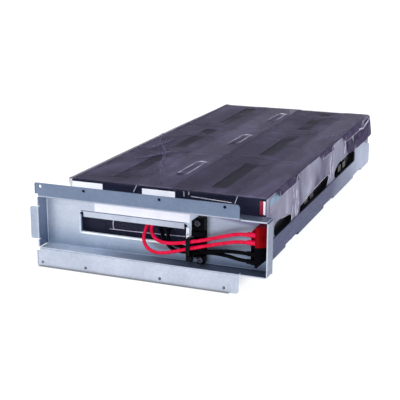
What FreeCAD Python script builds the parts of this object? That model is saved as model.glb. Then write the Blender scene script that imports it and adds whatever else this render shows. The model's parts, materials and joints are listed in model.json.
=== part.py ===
"""Rack UPS battery cartridge: a folded steel front pan and battery tray, six sealed
lead-acid batteries under clear shrink film, and two strings of leads that leave through
a window in the pan to a red and a black power connector.

All sizes are millimetres. Sub-parts are drawn from a datum at the left, lower, front
corner of the ear and flanges, then placed so that the origin is the centre of the outer
four flange screws, on the flanges' front face. +X is right, +Y runs back along the
batteries, +Z is up.
"""
import FreeCAD, Part
import math
import os
import re

import Sketcher
from FreeCAD import Vector

doc = FreeCAD.newDocument("ups_battery_cartridge")
sheet = doc.addObject("Spreadsheet::Sheet", "Sizes")

# --------------------------------------------------------------------- sizes
SIZES = [
    # folded steel
    ("gauge", 1.2, "sheet thickness of the pan and the tray"),
    ("bend", 1.2, "inside bend radius"),
    ("pan_width", 240.5, "outside width of the front pan"),
    ("pan_height", 54.5, "outside height of the front pan"),
    ("pan_depth", 18.0, "outside depth of the front pan"),
    ("top_flange", 13.5, "rise of the top flange above the pan"),
    ("bottom_flange", 18.4, "drop of the bottom flange below the pan"),
    ("flange_length", 214.5, "length of both flanges"),
    ("flange_overhang", 1.8, "how far the flanges pass the pan's left wall"),
    ("flange_corner", 3.0, "radius of the flanges' free corners"),
    ("relief_width", 1.2, "width of the relief cuts at the bend ends"),
    ("relief_depth", 3.4, "depth of the relief cuts at the bend ends"),
    ("corner_gap", 0.4, "open seam where two pan walls meet"),
    ("ear_reach", 6.0, "how far the left ear passes the flanges"),
    ("ear_low", 28.5, "height of the ear's lower edge"),
    ("ear_height", 33.0, "height of the left ear"),
    ("ear_corner", 1.5, "radius of the ear's free corners"),
    # flange screw holes, measured from the flange's left end
    ("hole_radius", 1.6, "flange screw hole"),
    ("hole_below_top", 3.4, "upper holes below the top edge"),
    ("hole_above_low", 4.2, "lower holes above the bottom edge"),
    ("hole_outer_left", 6.1, "left holes of the outer four"),
    ("hole_inner_left", 54.4, "left holes of the inner four"),
    ("hole_inner_right", 134.4, "right holes of the inner four"),
    ("hole_outer_right", 200.1, "right holes of the outer four"),
    # window in the pan's back wall
    ("window_left", 39.2, "window from the pan's left side"),
    ("window_width", 115.3, "window width"),
    ("window_low", 16.9, "window above the pan's underside"),
    ("window_height", 21.5, "window height up to the lip's bend"),
    ("window_corner", 2.2, "radius of the window's corners"),
    ("lip_drop", 5.5, "height of the lip over the window"),
    ("lip_lean", 0.9, "how far the lip leans back"),
    ("lip_slot", 1.2, "cut at each end of the lip"),
    # edging round the window
    ("edging_web", 0.8, "thickness of the edging on the cut edge"),
    ("edging_leg", 0.9, "reach of the edging's plain legs over the sheet"),
    ("edging_wall", 0.7, "thickness of the edging's legs and teeth"),
    ("tooth_reach", 2.4, "reach of the teeth on the window's right edge"),
    ("edging_fit", 0.05, "clearance between the edging and the sheet"),
    ("tooth_pitch", 4.6, "pitch of the edging's teeth"),
    ("tooth_gap", 1.6, "gap between the edging's teeth"),
    ("edging_end", 3.2, "edging stops below the window's top"),
    # tray
    ("tray_inset", 24.0, "tray from the pan's left side"),
    ("tray_rise", 3.0, "tray floor above the pan's underside"),
    ("tray_wall", 22.6, "height of the tray's low side walls"),
    ("tray_front", 11.0, "height of the tray's front wall"),
    ("post_height", 38.5, "height of the tray's rear corner posts"),
    ("post_length", 88.0, "length of the rear corner posts"),
    ("post_slope", 45.0, "length of the post's sloping top"),
    ("rear_wall", 27.0, "height of the tray's rear wall"),
    ("notch_length", 48.0, "strap notches in the tray's lower corners"),
    ("notch_height", 4.2, "height of the strap notches"),
    ("notch_inset", 4.2, "depth of the strap notches into the floor"),
    ("notch_shift", 8.0, "strap notches behind the middle of each row"),
    ("tray_fit", 0.1, "clearance between the film and the tray"),
    # batteries
    ("rows", 3, "battery rows, front to back"),
    ("battery_length", 151.0, "battery length, front to back"),
    ("battery_width", 65.0, "battery width, lying flat, so its height here"),
    ("battery_height", 94.0, "battery base to lid, so its width here"),
    ("terminal_height", 6.0, "terminals above the lid"),
    ("lid_height", 20.0, "height of the lid"),
    ("lid_seam", 0.5, "depth of the groove between the case and the lid"),
    ("case_corner", 3.0, "radius of the battery's long edges"),
    ("case_base", 1.6, "radius of the edges round the battery's base"),
    ("row_gap", 0.2, "clearance between rows"),
    ("column_gap", 5.0, "clearance from the left terminals to the right cases"),
    ("front_gap", 6.2, "cable space between the pan and the film"),
    ("panel_length", 112.0, "recess in the battery's broad faces"),
    ("panel_width", 15.0, "width of that recess"),
    ("panel_offset", 37.0, "that recess from the battery's base"),
    ("panel_depth", 0.6, "depth of the case's recesses"),
    ("end_panel_width", 34.0, "recess in the battery's end faces"),
    ("end_panel_margin", 5.0, "end recess from the broad faces"),
    ("well_length", 24.0, "terminal well along the lid"),
    ("well_width", 22.0, "terminal well across the lid"),
    ("well_depth", 4.0, "depth of the terminal wells"),
    ("terminal_inset", 16.0, "terminal from the battery's end"),
    ("terminal_level", 28.0, "terminal above the battery's lower face"),
    ("tab_width", 6.35, "width of the blade terminal"),
    ("tab_gauge", 0.8, "thickness of the blade terminal"),
    ("tab_short", 1.0, "blade ends below the terminal height"),
    ("foot_size", 8.0, "side of the terminal's foot"),
    ("foot_height", 1.2, "height of the terminal's foot"),
    ("cover_length", 88.0, "length of the vent cover"),
    ("cover_width", 26.0, "width of the vent cover"),
    ("cover_gauge", 1.6, "thickness of the vent cover"),
    ("cover_recess", 1.0, "depth of the seat of the vent cover"),
    ("cover_fit", 0.15, "clearance round the vent cover"),
    ("vent_slots", 6, "gas slots in the vent cover"),
    # film
    ("film_gauge", 0.4, "thickness of the shrink film"),
    ("film_slack", 0.3, "clearance between the film and the batteries"),
    ("film_corner", 3.4, "radius of the film's front and rear edges"),
    ("film_edge", 1.8, "radius of the film's side edges"),
    ("opening_low", 20.4, "side openings above the film's underside"),
    ("opening_height", 13.6, "height of the side openings"),
    ("first_opening", 22.0, "first side opening from the film's front"),
    ("first_opening_length", 57.0, "length of the first side opening"),
    ("second_opening", 111.0, "second side opening from the film's front"),
    ("second_opening_length", 115.0, "length of the second side opening"),
    ("third_opening", 262.0, "third side opening from the film's front"),
    ("third_opening_length", 104.0, "length of the third side opening"),
    ("exit_low", 24.0, "openings for the leads above the film's underside"),
    ("exit_height", 25.0, "height of the openings for the leads"),
    ("exit_return", 7.0, "right opening's return along the film's side"),
    # labels
    ("label_gauge", 0.15, "thickness of the labels"),
    ("pan_label_left", 55.4, "pan label from the pan's left side"),
    ("pan_label_low", 39.9, "pan label above the pan's underside"),
    ("pan_label_width", 101.6, "pan label width"),
    ("pan_label_height", 9.2, "pan label height"),
    ("label_height", 13.0, "height of the labels on the film's front"),
    ("label_drop", 3.4, "film labels below the top of the film"),
    ("left_label", 1.9, "left label from the film's left side"),
    ("left_label_width", 33.8, "width of the left label"),
    ("middle_label", 78.6, "middle label from the film's left side"),
    ("middle_label_width", 34.8, "width of the middle label"),
    ("right_label", 198.9, "right label from the film's left side"),
    ("right_label_width", 5.6, "width of the right label"),
    ("side_label", 7.3, "side label from the film's front"),
    ("side_label_length", 35.5, "length of the side label"),
    ("side_label_height", 14.0, "height of the side label"),
    # cable saddle, screws and tie
    ("saddle_left", 161.8, "cable saddle from the pan's left side"),
    ("saddle_width", 13.0, "width of the cable saddle"),
    ("saddle_low", 1.4, "cable saddle above the pan's floor"),
    ("saddle_height", 46.0, "height of the cable saddle"),
    ("saddle_base", 2.0, "thickness of the saddle's base"),
    ("saddle_head", 12.8, "height of the saddle's upper block"),
    ("saddle_shoulder", 4.2, "width of the upper block's left shoulder"),
    ("shoulder_drop", 3.0, "that shoulder below the saddle's top"),
    ("cheek_low", 19.7, "middle block's lower edge below the saddle's top"),
    ("cheek_height", 6.1, "height of the saddle's middle block"),
    ("cheek_shift", 0.5, "how far the middle block stands out to the left"),
    ("saddle_foot", 8.0, "height of the saddle's lower block"),
    ("saddle_reach", 7.4, "reach of the saddle's blocks"),
    ("saddle_step", 5.4, "the lower block's step to the right"),
    ("saddle_corner", 1.4, "radius of the saddle's corners"),
    ("ridge_rise", 0.6, "height of the saddle's ridges"),
    ("screw_head", 3.2, "radius of the saddle's screw heads"),
    ("screw_rise", 1.8, "height of the screw heads"),
    ("screw_slot", 0.9, "width of the cross recess"),
    ("screw_shank", 1.5, "radius of the screw shanks"),
    ("screw_fit", 0.05, "clearance round the screw shanks"),
    ("tie_left", 157.2, "cable tie from the pan's left side"),
    ("tie_width", 4.0, "width of the cable tie"),
    ("tie_gauge", 1.1, "thickness of the cable tie"),
    ("tie_low", 8.3, "cable tie above the pan's underside"),
    ("tie_height", 19.0, "height of the tie's loop"),
    ("tie_depth", 11.2, "depth of the tie's loop"),
    ("tie_gap", 0.3, "cable tie from the pan's back wall"),
    ("tie_head", 5.6, "side of the cable tie's head"),
    ("tie_corner", 3.8, "outside radius of the tie's loop"),
    # leads and connectors
    ("lead_radius", 1.8, "radius of the leads"),
    ("housing_width", 16.5, "width of a connector housing"),
    ("housing_height", 19.2, "height of a connector housing"),
    ("housing_depth", 13.7, "depth of a connector housing"),
    ("housing_gap", 0.3, "clearance round the housings"),
    ("housing_right", 1.6, "housings from the pan's right wall"),
    ("housing_low", 7.4, "lower housing above the pan's floor"),
    ("rib_left", 6.0, "housing's front rib from its left side"),
    ("rib_width", 3.6, "width of the front rib"),
    ("rib_rise", 6.4, "how far the front rib stands out"),
    ("housing_slope", 5.2, "set back of the housing's right corner"),
    ("shoulder_width", 6.0, "cut at the red housing's upper left"),
    ("shoulder_height", 7.0, "height of that cut"),
    ("heel_width", 8.5, "cut at the black housing's lower right"),
    ("heel_height", 8.0, "height of that cut"),
    ("port_radius", 1.9, "cable ports in the housings"),
    ("port_pitch", 7.6, "distance between a housing's two cable ports"),
    ("port_depth", 2.5, "depth of the cable ports"),
    ("port_set", 3.8, "cable ports behind the rib's front"),
    ("red_port", 3.2, "lower cable port above the red housing's base"),
    ("black_port", 4.2, "lower cable port above the black housing's base"),
    ("mouth_low", 9.5, "mating mouth above the housing's base"),
    ("mouth_height", 8.0, "height of the mating mouth"),
    ("mouth_width", 5.8, "width of the mating mouth"),
    ("mouth_depth", 7.5, "depth of the mating mouth"),
    ("mouth_wall", 1.3, "wall behind the mating mouth"),
    ("sleeve_radius", 2.4, "radius of the sleeves on the leads' ends"),
    ("sleeve_length", 8.2, "length of those sleeves"),
    ("sleeve_gap", 0.4, "sleeves from the housing's rib"),
    ("contact_gauge", 1.2, "thickness of the contact blades"),
    ("contact_width", 6.0, "width of the contact blades"),
    ("contact_length", 6.5, "length of the contact blades"),
    ("boot_length", 14.0, "length of the terminal boots"),
    ("boot_width", 8.8, "width of the terminal boots"),
    ("boot_height", 5.6, "height of the terminal boots"),
    ("boot_lift", 0.3, "boots above the lid"),
    ("boot_tail", 2.4, "boot past the middle of its terminal"),
    ("boot_fit", 0.1, "clearance of the blade and the lead in a boot"),
    ("boot_socket", 3.0, "how far a lead enters its boot"),
    ("boot_corner", 1.0, "radius of the boot's edges"),
]
for row, (alias, number, note) in enumerate(SIZES, 1):
    sheet.set(f"A{row}", note)
    sheet.set(f"B{row}", str(number))
    sheet.setAlias(f"B{row}", alias)
doc.recompute()
ALIASES = {alias for alias, _, _ in SIZES}


def bound(text):
    """Turn a formula in plain size names into one that reads the spreadsheet."""
    return re.sub(r"[a-z_]+", lambda word: f"Sizes.{word[0]}" if word[0] in ALIASES else word[0], text)


def value(text):
    """Number that a formula gives now."""
    return float(sheet.evalExpression(bound(str(text))))


# ------------------------------------------------------ places shared by pieces
PAN_LEFT = "(ear_reach + flange_overhang)"
PAN_RIGHT = f"({PAN_LEFT} + pan_width)"
PAN_LOW = "bottom_flange"
PAN_TOP = "(bottom_flange + pan_height)"
PAN_FLOOR = f"({PAN_LOW} + gauge)"
BACK_FACE = "(pan_depth - gauge)"
FLANGE_LEFT = "ear_reach"
FLANGE_RIGHT = "(ear_reach + flange_length)"
FLANGE_TOP = f"({PAN_TOP} + top_flange)"

WINDOW_LEFT = f"({PAN_LEFT} + window_left)"
WINDOW_RIGHT = f"({WINDOW_LEFT} + window_width)"
WINDOW_LOW = f"({PAN_LOW} + window_low)"
WINDOW_TOP = f"({WINDOW_LOW} + window_height)"

TRAY_LOW = f"({PAN_LOW} + tray_rise)"
TRAY_FLOOR = f"({TRAY_LOW} + gauge)"
TRAY_LEFT = f"({PAN_LEFT} + tray_inset)"
FILM_LEFT = f"({TRAY_LEFT} + gauge + tray_fit)"
FILM_WIDTH = "(2 * (battery_height + terminal_height + film_gauge + film_slack) + column_gap)"
FILM_RIGHT = f"({FILM_LEFT} + {FILM_WIDTH})"
FILM_FRONT = "(pan_depth + front_gap)"
PITCH = "(battery_length + row_gap)"
FILM_LENGTH = f"(rows * {PITCH} - row_gap + 2 * (film_gauge + film_slack))"
FILM_BACK = f"({FILM_FRONT} + {FILM_LENGTH})"
FILM_HEIGHT = "(battery_width + 2 * film_gauge + film_slack)"
FILM_TOP = f"({TRAY_FLOOR} + {FILM_HEIGHT})"
TRAY_RIGHT = f"({FILM_RIGHT} + tray_fit + gauge)"
TRAY_BACK = f"({FILM_BACK} + tray_fit + gauge)"

BATTERY_FRONT = f"({FILM_FRONT} + film_gauge + film_slack)"
COLUMN_PITCH = "(battery_height + terminal_height + column_gap)"
BATTERY_LEFT = f"({FILM_LEFT} + film_gauge + film_slack)"
BATTERY_LOW = f"({TRAY_FLOOR} + film_gauge)"
TERMINAL_UP = f"({BATTERY_LOW} + terminal_level)"

ORIGIN_X = f"({FLANGE_LEFT} + (hole_outer_left + hole_outer_right) / 2)"
ORIGIN_Z = f"(({FLANGE_TOP} - hole_below_top + hole_above_low) / 2)"


def column_left(column):
    """Base of the batteries in a column; every battery's lid faces right."""
    return f"({BATTERY_LEFT} + {column} * {COLUMN_PITCH})"


def row_front(row):
    return f"({BATTERY_FRONT} + {row} * {PITCH})"


# ---------------------------------------------------------------- small helpers
pieces = {}


def keep(label, item):
    """Name a finished sub-part; the label is its file's name."""
    item.Label = label
    pieces[label] = item
    return item


def set_place(item, x="0", y="0", z="0"):
    """Bind an object's position, given from the drawing datum, in the part's frame."""
    item.setExpression("Placement.Base.x", bound(f"{x} - {ORIGIN_X}"))
    item.setExpression("Placement.Base.y", bound(f"{y}"))
    item.setExpression("Placement.Base.z", bound(f"{z} - {ORIGIN_Z}"))
    return item


def new_body(label, x="0", y="0", z="0"):
    """PartDesign body kept as a sub-part, drawn from the given place."""
    return keep(label, set_place(doc.addObject("PartDesign::Body", label), x, y, z))


def helper_body():
    """PartDesign body that another object is made from."""
    return doc.addObject("PartDesign::Body", "Helper")


def helper_box(low, high):
    """Part box between two corners, each given as three formulas."""
    box = doc.addObject("Part::Box", "Helper")
    for name, axis, near, far in zip(("Length", "Width", "Height"), "xyz", low, high):
        box.setExpression(name, bound(f"{far} - ({near})"))
        box.setExpression(f"Placement.Base.{axis}", bound(near))
    return box


def new_sketch(body, role, offset="0"):
    """Sketch on one of the body's origin planes, moved along that plane's normal."""
    sketch = body.newObject("Sketcher::SketchObject", "Sketch")
    plane = next(item for item in body.Origin.OriginFeatures if item.Role == role)
    sketch.AttachmentSupport = [(plane, "")]
    sketch.MapMode = "FlatFace"
    sketch.setExpression("AttachmentOffset.Base.z", bound(offset))
    return sketch


def hold_point(sketch, geometry, corner, across, up):
    """Hold a point of the sketch at two bound distances from the sketch's origin."""
    for kind, formula in (("DistanceX", across), ("DistanceY", up)):
        index = sketch.addConstraint(Sketcher.Constraint(kind, -1, 1, geometry, corner, value(formula)))
        sketch.setExpression(f"Constraints[{index}]", bound(str(formula)))


def draw_polygon(sketch, corners):
    """Closed outline through the corners, each held by the spreadsheet."""
    points = [Vector(value(across), value(up), 0) for across, up in corners]
    first = sketch.GeometryCount
    count = len(points)
    for index, point in enumerate(points):
        sketch.addGeometry(Part.LineSegment(point, points[(index + 1) % count]))
    for index, (across, up) in enumerate(corners):
        following = first + (index + 1) % count
        sketch.addConstraint(Sketcher.Constraint("Coincident", first + index, 2, following, 1))
        hold_point(sketch, first + index, 1, across, up)


def draw_rectangle(sketch, left, low, right, high):
    draw_polygon(sketch, [(left, low), (right, low), (right, high), (left, high)])


def draw_circle(sketch, across, up, radius):
    centre = Vector(value(across), value(up), 0)
    index = sketch.addGeometry(Part.Circle(centre, Vector(0, 0, 1), value(radius)))
    hold_point(sketch, index, 3, across, up)
    held = sketch.addConstraint(Sketcher.Constraint("Radius", index, value(radius)))
    sketch.setExpression(f"Constraints[{held}]", bound(str(radius)))


def add_pad(body, sketch, length, reverse=False):
    pad = body.newObject("PartDesign::Pad", "Pad")
    pad.Profile = sketch
    pad.Reversed = reverse
    pad.setExpression("Length", bound(length))
    return pad


def add_pocket(body, sketch, length, reverse=False):
    """Pocket to a bound depth; it has to take some material away."""
    doc.recompute()
    before = body.Tip.Shape.Volume
    pocket = body.newObject("PartDesign::Pocket", "Pocket")
    pocket.Profile = sketch
    pocket.Reversed = reverse
    pocket.setExpression("Length", bound(length))
    doc.recompute()
    if pocket.Shape.Volume >= before:
        raise RuntimeError(f"a pocket of {body.Label} cuts nothing")
    return pocket


def box_pad(body, low, high):
    """Pad between two corners, each given as three formulas."""
    sketch = new_sketch(body, "XY_Plane", low[2])
    draw_rectangle(sketch, low[0], low[1], high[0], high[1])
    return add_pad(body, sketch, f"{high[2]} - ({low[2]})")


def box_pocket(body, low, high):
    """Pocket between two corners, each given as three formulas."""
    sketch = new_sketch(body, "XY_Plane", high[2])
    draw_rectangle(sketch, low[0], low[1], high[0], high[1])
    return add_pocket(body, sketch, f"{high[2]} - ({low[2]})")


def edges_at(body, count=None, length=None, **planes):
    """Edges of the body's tip that lie in every given plane, such as x=formula."""
    doc.recompute()
    targets = {axis: value(formula) for axis, formula in planes.items()}
    wanted = None if length is None else value(length)
    found = []
    for index, edge in enumerate(body.Tip.Shape.Edges, 1):
        box = edge.BoundBox
        sides = {"x": (box.XMin, box.XMax), "y": (box.YMin, box.YMax), "z": (box.ZMin, box.ZMax)}
        if wanted is not None and abs(edge.Length - wanted) > 0.01:
            continue
        if all(abs(end - target) < 0.01 for axis, target in targets.items() for end in sides[axis]):
            found.append(f"Edge{index}")
    if not found or (count and len(found) != count):
        raise RuntimeError(f"{body.Label}: {len(found)} edges found at {planes}")
    return found


def round_edges(body, radius, names, kind="Fillet"):
    """Fillet or chamfer edges of the body's tip, given by name."""
    fillet = body.newObject(f"PartDesign::{kind}", kind)
    fillet.Base = (fillet.BaseFeature, names)
    fillet.setExpression("Radius" if kind == "Fillet" else "Size", bound(radius))
    doc.recompute()
    return fillet


# --------------------------------------------------------------- folded steel
def make_front_pan():
    """One folded sheet: a shallow pan, two flanges with screw holes, an ear and a window."""
    pan = new_body("front_pan")
    box_pad(pan, (PAN_LEFT, "0", PAN_LOW), (PAN_RIGHT, "pan_depth", PAN_TOP))
    round_edges(pan, "bend + gauge", edges_at(pan, 4, y="pan_depth"))
    inside = (f"{PAN_LEFT} + gauge", f"{PAN_RIGHT} - gauge", PAN_FLOOR, f"{PAN_TOP} - gauge")
    sketch = new_sketch(pan, "XZ_Plane")
    draw_rectangle(sketch, inside[0], inside[2], inside[1], inside[3])
    add_pocket(pan, sketch, BACK_FACE)
    inner = edges_at(pan, 4, y=BACK_FACE)
    round_edges(pan, "bend", inner)

    # the walls meet at open seams, and the flange bends end in relief cuts
    seam = "(gauge + corner_gap)"
    sketch = new_sketch(pan, "XZ_Plane")
    for left, right in ((PAN_LEFT, f"{PAN_LEFT} + {seam}"), (f"{PAN_RIGHT} - {seam}", PAN_RIGHT)):
        for low, high in ((PAN_LOW, f"{PAN_LOW} + {seam}"), (f"{PAN_TOP} - {seam}", PAN_TOP)):
            draw_rectangle(sketch, left, low, right, high)
    add_pocket(pan, sketch, "pan_depth - bend - gauge")
    wall_start = f"({PAN_LEFT} + {seam})"
    for low, high in ((PAN_LOW, PAN_FLOOR), (f"{PAN_TOP} - gauge", PAN_TOP)):
        box_pocket(pan, (FLANGE_RIGHT, "0", low), (f"{FLANGE_RIGHT} + relief_width", "relief_depth", high))
    for low in ("ear_low - relief_width", "ear_low + ear_height"):
        high = f"{low} + relief_width"
        box_pocket(pan, (PAN_LEFT, "0", low), (f"{PAN_LEFT} + gauge", "relief_depth", high))

    # flanges and ear, each with its bend
    box_pad(pan, (wall_start, "0", f"{PAN_TOP} - gauge"), (FLANGE_RIGHT, "gauge", FLANGE_TOP))
    box_pad(pan, (wall_start, "0", "0"), (FLANGE_RIGHT, "gauge", PAN_FLOOR))
    box_pad(pan, ("0", "0", "ear_low"), (f"{PAN_LEFT} + gauge", "gauge", "ear_low + ear_height"))
    for z in (f"{PAN_TOP} - gauge", PAN_FLOOR):
        names = edges_at(pan, 1, f"{FLANGE_RIGHT} - {wall_start}", y="0", z=z)
        round_edges(pan, "bend + gauge / 2", names)
    names = edges_at(pan, 1, "ear_height", y="0", x=f"{PAN_LEFT} + gauge")
    round_edges(pan, "bend + gauge / 2", names)

    # the flanges pass the left wall, clear of its front edge
    clear = "(gauge + relief_width)"
    box_pad(pan, (FLANGE_LEFT, "0", f"{PAN_TOP} + {clear}"), (wall_start, "gauge", FLANGE_TOP))
    box_pad(pan, (FLANGE_LEFT, "0", "0"), (wall_start, "gauge", f"{PAN_LOW} - {clear}"))
    for z in (FLANGE_TOP, "0"):
        round_edges(pan, "flange_corner", edges_at(pan, 1, x=FLANGE_RIGHT, z=z))
        round_edges(pan, "gauge", edges_at(pan, 1, x=FLANGE_LEFT, z=z))
    for z in ("ear_low", "ear_low + ear_height"):
        round_edges(pan, "ear_corner", edges_at(pan, 1, x="0", z=z))

    sketch = new_sketch(pan, "XZ_Plane")
    for across in ("hole_outer_left", "hole_inner_left", "hole_inner_right", "hole_outer_right"):
        for up in (f"{FLANGE_TOP} - hole_below_top", "hole_above_low"):
            draw_circle(sketch, f"{FLANGE_LEFT} + {across}", up, "hole_radius")
    add_pocket(pan, sketch, "gauge")
    sketch = new_sketch(pan, "XZ_Plane", f"-{BACK_FACE}")
    for across, up in (SCREW_UPPER, SCREW_LOWER):
        draw_circle(sketch, across, up, "screw_shank + screw_fit")
    add_pocket(pan, sketch, "gauge")

    # window with rounded corners, and the lip that hangs behind its upper edge
    sketch = new_sketch(pan, "XZ_Plane", f"-{BACK_FACE}")
    draw_rectangle(sketch, WINDOW_LEFT, WINDOW_LOW, WINDOW_RIGHT, WINDOW_TOP)
    add_pocket(pan, sketch, "gauge")
    corners = [name for x in (WINDOW_LEFT, WINDOW_RIGHT) for z in (WINDOW_LOW, WINDOW_TOP)
               for name in edges_at(pan, 1, x=x, z=z)]
    round_edges(pan, "window_corner", corners)
    sketch = new_sketch(pan, "YZ_Plane", f"{WINDOW_LEFT} + window_corner + lip_slot")
    draw_polygon(sketch, [(BACK_FACE, WINDOW_TOP),
                          (f"{BACK_FACE} + lip_lean", f"{WINDOW_TOP} - lip_drop"),
                          ("pan_depth + lip_lean", f"{WINDOW_TOP} - lip_drop"),
                          ("pan_depth", WINDOW_TOP)])
    add_pad(pan, sketch, "window_width - 2 * (window_corner + lip_slot)")


def make_battery_tray():
    """Folded tray: floor, low sides, two taller rear posts, a front and a rear wall."""
    tray = new_body("battery_tray")
    front = "pan_depth"
    box_pad(tray, (TRAY_LEFT, front, TRAY_LOW), (TRAY_RIGHT, TRAY_BACK, f"{TRAY_LOW} + post_height"))
    lower = [name for place in ({"x": TRAY_LEFT}, {"x": TRAY_RIGHT}, {"y": TRAY_BACK})
             for name in edges_at(tray, 1, z=TRAY_LOW, **place)]
    round_edges(tray, "bend + gauge", lower)
    box_pocket(tray, (f"{TRAY_LEFT} + gauge", f"{front} + gauge", TRAY_FLOOR),
               (f"{TRAY_RIGHT} - gauge", f"{TRAY_BACK} - gauge", f"{TRAY_LOW} + post_height"))

    # side profile, cut across the whole width
    top = f"{TRAY_LOW} + post_height"
    above = f"{top} + 1"
    rim = f"{TRAY_LOW} + tray_wall"
    inside = f"{front} + gauge"
    post = f"({TRAY_BACK} - post_length)"
    sketch = new_sketch(tray, "YZ_Plane", TRAY_LEFT)
    draw_polygon(sketch, [(inside, rim), (post, rim), (post, above), (inside, above)])
    add_pocket(tray, sketch, f"{TRAY_RIGHT} - {TRAY_LEFT}", reverse=True)
    slope = f"{TRAY_BACK} - post_slope"
    behind = f"{TRAY_BACK} + 1"
    sketch = new_sketch(tray, "YZ_Plane", TRAY_LEFT)
    draw_polygon(sketch, [(slope, above), (slope, top),
                          (behind, f"{TRAY_LOW} + rear_wall"), (behind, above)])
    add_pocket(tray, sketch, f"{TRAY_RIGHT} - {TRAY_LEFT}", reverse=True)
    box_pocket(tray, (TRAY_LEFT, front, f"{TRAY_LOW} + tray_front"), (TRAY_RIGHT, inside, above))
    box_pocket(tray, (f"{TRAY_LEFT} + post_height / 2", f"{TRAY_BACK} - gauge", f"{TRAY_LOW} + rear_wall"),
               (f"{TRAY_RIGHT} - post_height / 2", TRAY_BACK, top))

    # strap notches through the lower corners
    for index in range(int(value("rows"))):
        middle = f"({row_front(index)} + battery_length / 2 + notch_shift)"
        ends = (f"{middle} - notch_length / 2", f"{middle} + notch_length / 2")
        high = f"{TRAY_LOW} + notch_height"
        box_pocket(tray, (TRAY_LEFT, ends[0], TRAY_LOW), (f"{TRAY_LEFT} + notch_inset", ends[1], high))
        box_pocket(tray, (f"{TRAY_RIGHT} - notch_inset", ends[0], TRAY_LOW), (TRAY_RIGHT, ends[1], high))


# ------------------------------------------------------------------ batteries
def make_case(column, row):
    """Battery container, lying on its broad side with its mouth to the right."""
    label = f"battery_{row + 1}_{'lr'[column]}_case"
    case = new_body(label, column_left(column), row_front(row), BATTERY_LOW)
    depth = "(battery_height - lid_height)"
    box_pad(case, ("0", "0", "0"), (depth, "battery_length", "battery_width"))
    names = [name for y in ("0", "battery_length") for z in ("0", "battery_width")
             for name in edges_at(case, 1, y=y, z=z)]
    round_edges(case, "case_corner", names)
    round_edges(case, "case_base", edges_at(case, 8, x="0"))
    start = "(battery_length - panel_length) / 2"
    for low, high in (("0", "panel_depth"), ("battery_width - panel_depth", "battery_width")):
        box_pocket(case, ("panel_offset", start, low),
                   ("panel_offset + panel_width", f"{start} + panel_length", high))
    margin = "end_panel_margin"
    for near, far in (("0", "panel_depth"), ("battery_length - panel_depth", "battery_length")):
        box_pocket(case, ("panel_offset", near, margin),
                   ("panel_offset + end_panel_width", far, f"battery_width - {margin}"))


def make_lid(column, row):
    """Battery lid with a seam groove, two terminal wells and a seat for the vent cover."""
    start = f"{column_left(column)} + battery_height - lid_height"
    lid = new_body(f"battery_{row + 1}_{'lr'[column]}_lid", start, row_front(row), BATTERY_LOW)
    groove = "(2 * lid_seam)"
    box_pad(lid, ("0", "lid_seam", "lid_seam"),
            (groove, "battery_length - lid_seam", "battery_width - lid_seam"))
    names = [name for y in ("lid_seam", "battery_length - lid_seam")
             for z in ("lid_seam", "battery_width - lid_seam") for name in edges_at(lid, 1, y=y, z=z)]
    round_edges(lid, "case_corner - lid_seam", names)
    box_pad(lid, (groove, "0", "0"), ("lid_height", "battery_length", "battery_width"))
    names = [name for y in ("0", "battery_length") for z in ("0", "battery_width")
             for name in edges_at(lid, 1, y=y, z=z)]
    round_edges(lid, "case_corner", names)
    low, high = "terminal_level - well_width / 2", "terminal_level + well_width / 2"
    for middle in ("terminal_inset", "battery_length - terminal_inset"):
        box_pocket(lid, ("lid_height - well_depth", f"{middle} - well_length / 2", low),
                   ("lid_height", f"{middle} + well_length / 2", high))
    seat = ("lid_height - cover_recess", "(battery_length - cover_length) / 2 - cover_fit",
            "(battery_width - cover_width) / 2 - cover_fit")
    box_pocket(lid, seat, ("lid_height", "(battery_length + cover_length) / 2 + cover_fit",
                           "(battery_width + cover_width) / 2 + cover_fit"))


def make_vent_cover(column, row):
    """Plate over the relief valves, slotted to let gas out."""
    start = f"{column_left(column)} + battery_height - cover_recess"
    cover = new_body(f"battery_{row + 1}_{'lr'[column]}_vent_cover", start,
                     f"{row_front(row)} + (battery_length - cover_length) / 2",
                     f"{BATTERY_LOW} + (battery_width - cover_width) / 2")
    box_pad(cover, ("0", "0", "0"), ("cover_gauge", "cover_length", "cover_width"))
    corners = [name for y in ("0", "cover_length") for z in ("0", "cover_width")
               for name in edges_at(cover, 1, y=y, z=z)]
    round_edges(cover, "gauge", corners)
    sketch = new_sketch(cover, "YZ_Plane", "cover_gauge")
    count = int(value("vent_slots"))
    for index in range(count):
        middle = f"cover_length * {index + 0.5} / vent_slots"
        draw_rectangle(sketch, f"{middle} - gauge / 2", "cover_width / 4",
                       f"{middle} + gauge / 2", "cover_width * 3 / 4")
    add_pocket(cover, sketch, "cover_gauge / 2")


def make_terminals(column, row):
    """The battery's two blade terminals, each standing on its foot in its well."""
    start = f"{column_left(column)} + battery_height - well_depth"
    item = doc.addObject("Part::MultiFuse", "Terminals")
    blades = []
    for middle in ("terminal_inset", "battery_length - terminal_inset"):
        foot = doc.addObject("Part::Box", "Foot")
        for name, formula in (("Length", "foot_height"), ("Width", "foot_size"), ("Height", "foot_size")):
            foot.setExpression(name, bound(formula))
        foot.setExpression("Placement.Base.y", bound(f"{middle} - foot_size / 2"))
        foot.setExpression("Placement.Base.z", bound("terminal_level - foot_size / 2"))
        blade = doc.addObject("Part::Box", "Blade")
        sizes = (("Length", "well_depth + terminal_height - foot_height - tab_short"),
                 ("Width", "tab_gauge"), ("Height", "tab_width"))
        for name, formula in sizes:
            blade.setExpression(name, bound(formula))
        blade.setExpression("Placement.Base.x", bound("foot_height"))
        blade.setExpression("Placement.Base.y", bound(f"{middle} - tab_gauge / 2"))
        blade.setExpression("Placement.Base.z", bound("terminal_level - tab_width / 2"))
        blades += [foot, blade]
    item.Shapes = blades
    keep(f"battery_{row + 1}_{'lr'[column]}_terminals", set_place(item, start, row_front(row), BATTERY_LOW))


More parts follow.
